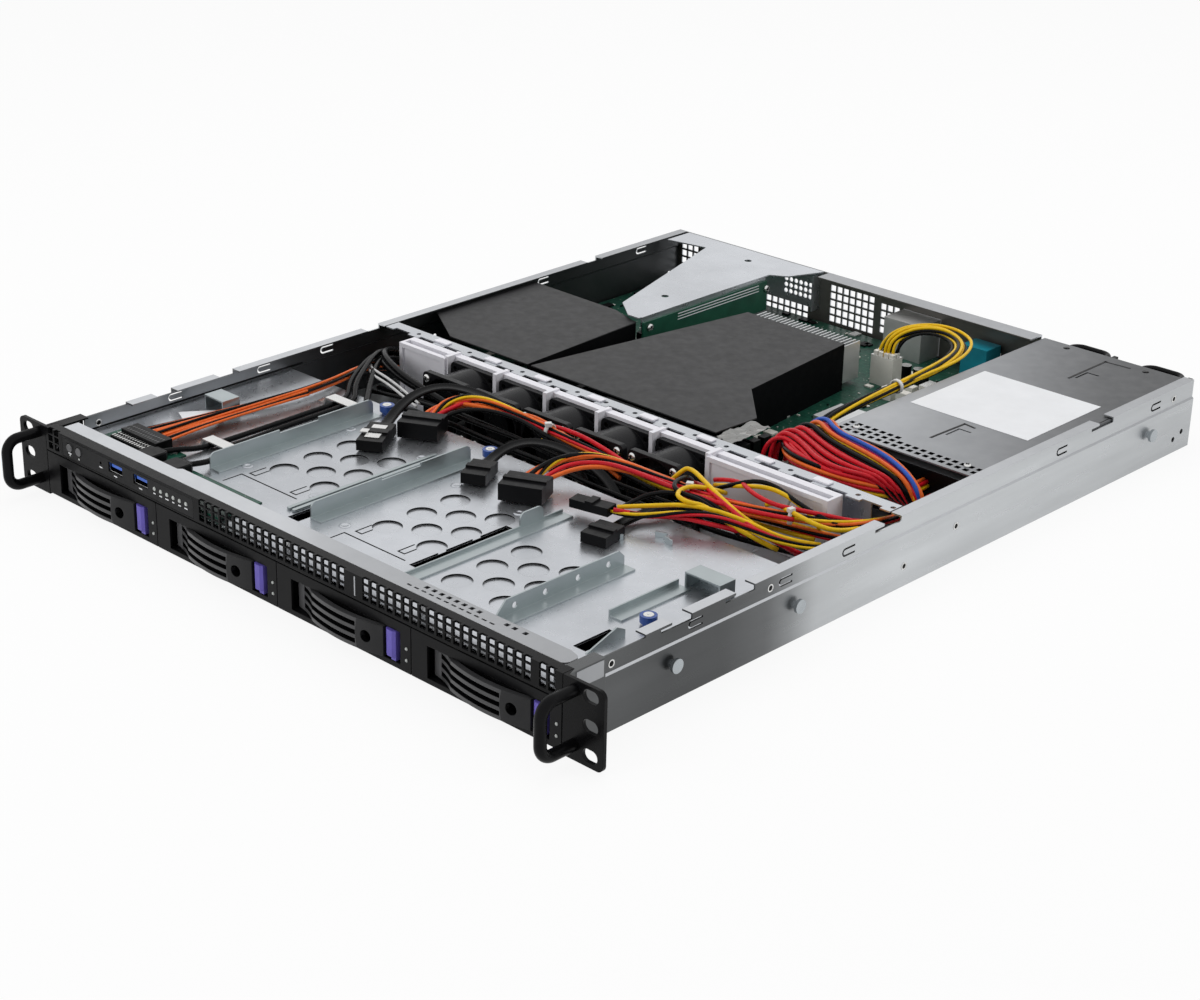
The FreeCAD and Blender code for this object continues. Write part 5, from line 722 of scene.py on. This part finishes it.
# Painted shade: the walls of the drive plate's holes and cuts get black plastic.
paint("drive_cage", BLACK, lambda p, n: abs(n.z) < FACING and PLATE_Z - 0.98 < p.z < PLATE_Z - 0.02 and p.y > 14)
BAY_LEFTS = (-214, -107, 0, 107)
for number, left in enumerate(BAY_LEFTS, 1):
    lever = "carrier_lever_%d" % number
    dress(["carrier_%d" % number], BLACK)
    dress(["carrier_latch_%d" % number], VIOLET)
    dress([lever], LEVER)
    # Painted shade and light on each lever: black in the slot walls, lighter grey on the rib fronts and top face as
    # a painted highlight, and lighter grey on the recessed left end.
    paint(lever, BLACK, lambda p, n: abs(n.z) > 0.35)
    ribs_start, ribs_end = left + 19, left + 69.4
    paint(lever, RIB, lambda p, n: n.z > 0.35 and p.z > 21 or n.y < -0.2 and ribs_start < p.x < ribs_end)
    paint(lever, PAD, lambda p, n: n.y < -0.2 and p.x < ribs_start)
# Painted shade: the shrouds' side faces below their tops get the darker copy.
for name in ("air_shroud_left", "air_shroud_cpu"):
    paint(name, SHADE, lambda p, n: abs(n.z) < FACING and p.z < 39)
# Painted shade on the power supply cage: its front face below the cover, and the walls of the cover's slots near the
# front, get black plastic.
paint("psu_cage", BLACK, lambda p, n: n.y < -SQUARE and p.y < 345 and p.z < 40.5)
paint("psu_cage", BLACK, lambda p, n: abs(n.z) < FACING and COVER_Z - 0.95 < p.z < COVER_Z - 0.05
      and 338 < p.y < 364 and 107 < p.x < 212)
paint("io_ports", TEAL, lambda p, n: p.x > 53.5 and p.y < 557)
# Painted shade: the faces inside the USB ports' metal shells get black plastic.
paint("usb_ports", BLACK, lambda p, n: p.y > 1.2 and 34.7 < p.z < 39.8)
paint("usb_ports", USB_BLUE, lambda p, n: n.y < -FACING and 37 < p.z < 39.2 and p.y < 2)
paint("io_ports", TEAL, lambda p, n: p.x > 54.5 and n.y > FACING and p.y > 561)
paint("io_ports", BLACK, boxed(-6.8, 546, 28.6, 13.2, 8.2, 33.2))
MODULE_FAN_Z = 21.2
INLET_Z = 20.3
MODULES = []
for number in (1, 2):
    module = "psu_module_%d" % number
    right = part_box(module)[1][0] * 1000
    MODULES.append((number, module, right - 17, right - 39.2))
for _, module, fan_x, inlet_x in MODULES:
    paint(module, BLACK, lambda p, n: p.y > REAR_Y + 1.5 or abs(p.x - inlet_x) < 10 and 545 < p.y < REAR_Y - 0.1
          and abs(p.z - INLET_Z) < 13.8)
    paint(module, FAN, lambda p, n: 553 < p.y < REAR_Y + 0.1
          and math.hypot(p.x - fan_x, p.z - MODULE_FAN_Z) < (15.2 if p.y < REAR_Y - 0.1 else 6.3))


# Small parts left to the surface: screws, lenses, labels and pressed marks

FAN_X, FAN_PITCH, FAN_FRONT, FAN_Z = -113, 44, 228, 21.4
PANEL_FRONT = 0
LAMP_PLACES = [-107.5 + 5.8 * lamp for lamp in range(6)]


def screw(bm, place, axis, radius):
    """A pan-head screw of the first material, with a raised cross of the second standing in for its cross recess;
    here that is black, painted shade in the recess.
    """
    lathe(bm, place, axis, ((radius, 0), (radius, radius * 0.3), (radius * 0.8, radius * 0.62),
                            (radius * 0.35, radius * 0.75), (radius * 0.3, radius * 0.55), (TIP, radius * 0.5)))
    side = axis.orthogonal().normalized()
    for turn in range(2):
        arm = Matrix.Rotation(math.pi / 2 * turn + 0.5, 3, axis) @ side
        across = axis.cross(arm)
        base = place + axis * (radius * 0.70 / 1000)
        half = radius * 0.62 / 1000
        thin = radius * 0.13 / 1000
        lift = axis * (radius * 0.09 / 1000)
        rings = [[bm.verts.new(base + level + arm * (a * half) + across * (b * thin))
                  for a, b in ((-1, -1), (1, -1), (1, 1), (-1, 1))] for level in (lift * -1, lift)]
        skin(bm, rings, 1, smooth=False)


def boss(bm, place, radius):
    """A low pressed dimple with a rim, on a top face."""
    lathe(bm, place, UPWARD, ((radius, -0.1), (radius * 0.93, 0.28), (radius * 0.72, 0.5), (radius * 0.55, 0.42),
                              (radius * 0.42, 0.1), (TIP, 0.06)), sides=20)


def rivet(bm, place, rim, middle):
    """A hollow rivet in a side wall: a bright rim about a black disc, which is painted shade standing in for its
    hole.
    """
    lathe(bm, place, OUTWARD, ((2.3, -0.05), (2.3, 0.25), (1.5, 0.25), (1.5, -0.05)), rim, 20)
    lathe(bm, place, OUTWARD, ((1.5, -0.05), (1.5, 0.06), (TIP, 0.07)), middle)


def sheet_patch(bm, corners, lift, thick, index=0):
    """A thin sheet on given corners in millimetres, its edges slightly drawn in on top."""
    corners = [Vector(corner) for corner in corners]
    middle = sum(corners, Vector()) / len(corners)
    rings = []
    for height, grow in ((0, 1), (thick * 0.7, 1), (thick, 0.985)):
        rings.append([bm.verts.new(at(*(middle + (corner - middle) * grow + lift * height))) for corner in corners])
    skin(bm, rings, index, smooth=False)


with piece_of("pressed_marks", [STEEL, BRIGHT, BLACK], "galvanised_sheet") as bm:
    for x, y in ((-106.3, 65.7), (-46.3, 65.9), (-108.1, 146), (-45.7, 147), (-4, 52), (-2, 134), (50, 133),
                 (68.8, 116.5), (71.5, 35.9)):
        boss(bm, at(x, y, PLATE_Z), 3.6)
    # Rivets, each with a black disc of painted shade in its hole.
    for x, y, z in ((214, 33.6, 36.6), (214, 152.3, 37), (215, 266, 12.4), (215, 312.6, 21.8),
                    (214, 536.8, 36.7), (-213, 37, 36)):
        rivet(bm, at(x, y, z), 1, 2)

with piece_of("wall_shadow_line_and_ear_tab", [BLACK, STRIP_STEEL], "galvanised_sheet") as bm:
    # A black strip of painted shadow along the left wall's jog, and a light steel tab on the right ear's outer side.
    slab(bm, at(-212.9, 114, 33.2), (0.3, 164, 1.3), bevel=0.1)
    slab(bm, at(216.7, 16, 38.2), (0.4, 19, 9), index=1, bevel=0.1)

with piece_of("slot_shadow_sheets", [BLACK], "black_plastic") as bm:
    # Thin black sheets under the top strip's holes and under the power supply cover's slots: painted shade seen
    # through them.
    slab(bm, at(133, 14.6, 42.2), (90, 8.4, 0.3), bevel=0.05)
    slab(bm, at(159.5, 351, 40.5), (100, 22, 0.3), bevel=0.05)

with piece_of("plate_strips", [RAIL_STEEL], "galvanised_sheet") as bm:
    for x, y, turn in ((126, 166, 20), (134, 163, -15), (111, 147, 35)):
        slab(bm, at(x, y, 33.6), (7, 1.1, 3.2), turn)
    for x in (-42, -37.6):
        slab(bm, at(x, 99, 32.9), (2.6, 112, 1.8), bevel=0.4)

# Screw heads whose cross recesses are black: painted shade.
with piece_of("screw_heads", [BRIGHT, BLACK], "stud_steel") as bm:
    for fan in range(5):
        for side in (-16, 16):
            for rise in (-16, 16):
                screw(bm, at(FAN_X + FAN_PITCH * fan + side, FAN_FRONT, FAN_Z + rise), FORWARD, 2.6)
    for x, y in ((115.7, 348.1), (195.9, 347.2)):
        screw(bm, at(x, y, COVER_Z), UPWARD, 2.2)
    for y, z in ((402, 35.6), (522, 34.6)):
        screw(bm, at(-99.4, y, z), OUTWARD, 2.6)


def slit_shadows(bm, points, width):
    """Thin black strips on the power supply's cover along a run of points: painted shade standing in for its cuts.
    """
    for (x0, y0), (x1, y1) in zip(points, points[1:]):
        slab(bm, at((x0 + x1) / 2, (y0 + y1) / 2, COVER_Z), (math.hypot(x1 - x0, y1 - y0) + width, width, 0.16),
             math.degrees(math.atan2(y1 - y0, x1 - x0)), bevel=0.04)


with piece_of("psu_cover_cut_shadows", [BLACK], "psu_sheet") as bm:
    # Black strips and two black discs on the cover: painted shade for its cuts and round holes.
    slit_shadows(bm, ((155.6, 367.6), (156.8, 399), (164.4, 397.8)), 1.7)
    slit_shadows(bm, ((156.4, 509), (156.2, 550), (173, 551)), 1.7)
    slit_shadows(bm, ((211.4, 380), (211.4, 545)), 0.7)
    for x, y in ((125, 553.5), (183.7, 552.6)):
        lathe(bm, at(x, y, COVER_Z), UPWARD, ((2.2, -0.05), (2.2, 0.06), (TIP, 0.08)))

with piece_of("knob_centres", [BRIGHT], "stud_steel") as bm:
    for x, y in ((192, 84), (-18, 176), (-112, 179)):
        lathe(bm, at(x, y, 37.55), UPWARD, ((2.9, 0), (2.9, 0.3), (2.3, 0.55), (1.2, 0.6), (1, 0.4), (TIP, 0.4)))


def wire_ring(bm, centre, radius, gauge):
    """A closed ring of round wire that faces the rear."""
    rings = []
    for x, z in circle(40):
        out = Vector((x, 0, z))
        rings.append([bm.verts.new(centre + out * (radius / 1000) + (out * c + REARWARD * s) * (gauge / 2000))
                      for c, s in circle(6)])
    skin(bm, rings + rings[:1], closed=False)


for number, module, fan_x, inlet_x in MODULES:
    with piece_of("psu_rear_details_%d" % number, [BRIGHT, FAN], "connector_metal", module) as bm:
        guard = at(fan_x, REAR_Y - 0.6, MODULE_FAN_Z)
        for radius in (8.2, 11.4, 14.4):
            wire_ring(bm, guard, radius, 1)
        for spoke in range(4):
            turn = math.pi / 4 + math.pi / 2 * spoke
            out = Vector((math.cos(turn), 0, math.sin(turn)))
            side = out.cross(REARWARD)
            add_tube(bm, [(guard + out * (reach / 1000), side, REARWARD) for reach in (5, 16.6)], 0.0005)
        for blade in range(7):
            corners = []
            for reach, lead, y in ((6.6, 0, 554.2), (14, 0.15, 554.6), (14, 0.75, 557.8), (6.6, 0.75, 557.2)):
                turn = 2 * math.pi * blade / 7 + lead
                corners.append((fan_x + reach * math.cos(turn), y, MODULE_FAN_Z + reach * math.sin(turn)))
            sheet_patch(bm, corners, REARWARD, 0.5, 1)
        for x, z in ((3.6, 0), (-2.6, 7), (-2.6, -7)):
            slab(bm, at(inlet_x + x, 554.4, INLET_Z + z), (4.2, 7.6, 2), bevel=0.3)

with piece_of("serial_contacts", [BRIGHT], "connector_metal") as bm:
    for row, count in ((1.4, 5), (-1.4, 4)):
        for pin in range(count):
            lathe(bm, at(64 + 2.76 * (pin - (count - 1) / 2), 562, 18.6 + row), REARWARD,
                  ((0.55, -0.05), (0.55, 0.25), (0.3, 0.4), (TIP, 0.42)))

with piece_of("panel_lamps", [LAMP], "white_plastic") as bm:
    for x in LAMP_PLACES:
        lathe(bm, at(x, PANEL_FRONT + 0.6, 37), FORWARD, ((1.25, 0), (1.25, 0.6), (1, 0.9), (0.5, 1.05), (TIP, 1.1)))
    for x in (-190, -181):
        lathe(bm, at(x, PANEL_FRONT + 0.6, 32.4), FORWARD, ((0.7, 0), (0.7, 0.6), (0.4, 0.8), (TIP, 0.85)))

for number, left in enumerate(BAY_LEFTS, 1):
    with piece_of("carrier_lamps_%d" % number, [LAMP], "white_plastic", "carrier_%d" % number) as bm:
        for z in (8.4, 15):
            lathe(bm, at(left + 103.4, 1.2, z), FORWARD, ((0.9, 0), (0.9, 1.4), (0.6, 1.7), (TIP, 1.8)))

with piece_of("panel_marks", [PAPER], "white_plastic") as bm:
    for lamp, x in enumerate(LAMP_PLACES):
        slab(bm, at(x, PANEL_FRONT, 34.2), (2 + 0.5 * (lamp % 3), 0.16, 0.7), bevel=0.04)
    for x, z in ((-190, 33.6), (-159, 34.4), (-144.7, 32.9), (-120.7, 32.9)):
        slab(bm, at(x, PANEL_FRONT, z), (3, 0.16, 0.7), bevel=0.04)

with piece_of("header_pins", [BRIGHT, PAD], "connector_metal") as bm:
    for pin in range(14):
        x = -186 + 2.4 * pin
        for y in (29, 33.2):
            slab(bm, at(x, y, 38.6), (0.9, 2.6, 0.7), bevel=0.1)
        for y in (38, 42):
            slab(bm, at(x, y, 40.6), (1.1, 1.9, 0.3), index=1, bevel=0.1)

with piece_of("bare_labels", [PAPER], "white_plastic") as bm:
    for height, corners in ((42.05, ((113, 404), (197.6, 404), (197.6, 481), (113, 481))),
                            (32.05, ((-181.9, 78.9), (-174.3, 101.4), (-188.6, 106.2), (-201.6, 87.6)))):
        sheet_patch(bm, [(x, y, height) for x, y in corners], UPWARD, 0.12)

with piece_of("panel_lead_plugs", [BLACK], "black_plastic") as bm:
    for x in (-144.7, -120.7):
        slab(bm, at(x - 2, 26, 37.2), (15, 14, 6.4), bevel=0.8)
        slab(bm, at(x - 2, 33.6, 37.2), (11, 3, 5), bevel=0.8)

with piece_of("plug_clips", [BRIGHT], "connector_metal") as bm:
    slab(bm, at(-80, 142, 40), (9, 20, 0.7), 32)
    slab(bm, at(-83.6, 136.2, 40.8), (5, 5, 1.4), 32)

with piece_of("plug_housings", [IVORY], "white_plastic") as bm:
    for row in range(12):
        for x in (86.9, 91.1):
            slab(bm, at(x, 297 + 4.1 * row, 22), (3.2, 3.4, 3), bevel=0.3)
    for column in range(4):
        for row in range(2):
            slab(bm, at(23.6 + 4.2 * column, 488.8 + 4.4 * row, 28.6), (3.4, 3.4, 3.4), bevel=0.3)

with piece_of("housing_clips", [WHITE], "white_plastic") as bm:
    for x in (-157, -110.5, -66.5, -20, 23, 68.5, 113, 155):
        slab(bm, at(x, 267.6, 44), (12, 5.2, 1.1), bevel=0.4)

with piece_of("seam_and_contacts", [STRIP_STEEL, PAPER], "galvanised_sheet") as bm:
    slab(bm, at(64.2, 0, 36.8), (0.9, 0.6, 11), bevel=0.1)
    for z in (34.4, 36.4, 38.4):
        slab(bm, at(-99.3, 472, z), (0.3, 84, 0.6), index=1, bevel=0.05)

with piece_of("tape_scrap", [TAPE], "white_plastic") as bm:
    sheet = [[bm.verts.new(at(66 + 2 * column + rng.uniform(-0.6, 0.6), 277 + 3 * row + rng.uniform(-1, 1),
                              41.4 + rng.uniform(-1, 1))) for column in range(8)] for row in range(13)]
    for row, above in zip(sheet, sheet[1:]):
        for column in range(7):
            bm.faces.new((row[column], row[column + 1], above[column + 1], above[column]))

# Chips lie at random where the board's top is bare: a place is taken if nine rays from above all meet the top
CHIP_TRIES = 420
CHIP_ROOM = 0.0005
LEVEL = 0.0001
ABOVE_ALL = 60
CHIPS = ((1.6, 0.9, 0.7), (2.4, 1.3, 0.8), (3.4, 1.8, 0.9), (5.2, 4, 1.2), (7.4, 6, 1.2))
board = bmesh.new()
board.from_mesh(NODES["motherboard"].data)
board.transform(NODES["motherboard"].matrix_world)
shapes = BVHTree.FromBMesh(board)
board.free()
board_top = shapes.ray_cast(at(78, 440, ABOVE_ALL), DOWNWARD)[0].z
with piece_of("board_chips", [BLACK, IVORY, PORT], "black_plastic") as bm:
    for _ in range(CHIP_TRIES):
        place = at(rng.uniform(-206, 98), rng.uniform(290, 552), ABOVE_ALL)
        size = rng.choice(CHIPS)
        turn, color = rng.choice((0, 90)), rng.choice((0, 0, 1, 2))
        reach = max(size) / 2000 + CHIP_ROOM
        hits = [shapes.ray_cast(place + Vector((x * reach, y * reach, 0)), DOWNWARD)[0]
                for x in (-1, 0, 1) for y in (-1, 0, 1)]
        if all(hit and abs(hit.z - board_top) < LEVEL for hit in hits):
            slab(bm, Vector((place.x, place.y, board_top + size[2] / 2000)), size, turn, color, bevel=0.1)


# Floor, light and background

FLOOR_REACH = 6
FLOOR_Z = -0.0004


def seen_white(tree):
    """A factor that is 1 for what the camera, reflections and clear parts see."""
    rays = add_node(tree, "LightPath", {})
    value = rays.outputs["Is Camera Ray"]
    for other in ("Is Glossy Ray", "Is Transmission Ray"):
        value = add_node(tree, "Math", {0: value, 1: rays.outputs[other]}, operation="MAXIMUM").outputs[0]
    return value


def mix_output(tree, output, share, first, second):
    """Two shaders mixed into the tree's output."""
    mix = add_node(tree, "MixShader", {"Fac": share, 1: first.outputs[0], 2: second.outputs[0]})
    fill(tree, tree.nodes[output], {"Surface": mix.outputs[0]})


def make_world(ambient_strength):
    """A surround that is seen as white and lights the object at a lower strength."""
    world = bpy.data.worlds.new("studio")
    bpy.context.scene.world = world
    world.use_nodes = True
    tree = world.node_tree
    ambient = tree.nodes["Background"]
    fill(tree, ambient, {"Color": WHITE_LIGHT, "Strength": ambient_strength})
    seen = add_node(tree, "Background", {"Color": WHITE_LIGHT, "Strength": 1})
    mix_output(tree, "World Output", seen_white(tree), ambient, seen)


def make_floor(glow_share):
    """A white floor that keeps a faint shadow."""
    mesh = bpy.data.meshes.new("floor")
    mesh.from_pydata([(x * FLOOR_REACH, y * FLOOR_REACH, FLOOR_Z) for x, y in ((-1, -1), (1, -1), (1, 1), (-1, 1))],
                     [], [(0, 1, 2, 3)])
    floor = add_object("floor", mesh)
    mat = bpy.data.materials.new("floor_white")
    mat.use_nodes = True
    tree = mat.node_tree
    shader = tree.nodes["Principled BSDF"]
    fill(tree, shader, {"Base Color": (0.9, 0.9, 0.9, 1), "Roughness": 0.9})
    glow = add_node(tree, "Emission", {"Color": WHITE_LIGHT, "Strength": 1})
    share = add_node(tree, "Math", {0: seen_white(tree), 1: glow_share}, operation="MULTIPLY").outputs[0]
    mix_output(tree, "Material Output", share, shader, glow)
    mesh.materials.append(mat)


def area_light(name, place, target, size, power):
    """A lamp that lights the object but is left out of its reflections."""
    data = bpy.data.lights.new(name, "AREA")
    data.shape = "RECTANGLE"
    data.size, data.size_y = size
    data.energy = power
    lamp = add_object(name, data)
    lamp.location = place
    lamp.rotation_euler = (Vector(target) - Vector(place)).to_track_quat("-Z", "Y").to_euler()
    lamp.visible_glossy = False


make_world(ambient_strength=0.34)
make_floor(glow_share=0.9)
area_light("top_light", (-0.3, 0.4, 1.7), (0, 0, 0), (1.6, 1.6), 16)
area_light("side_light", (1.6, 0.9, 1), (0, 0.1, 0), (1, 1), 9)
area_light("front_light", (-0.6, -1.6, 0.9), (0, -0.2, 0), (1.2, 0.8), 11)

bpy.context.scene.view_settings.view_transform = "Standard"
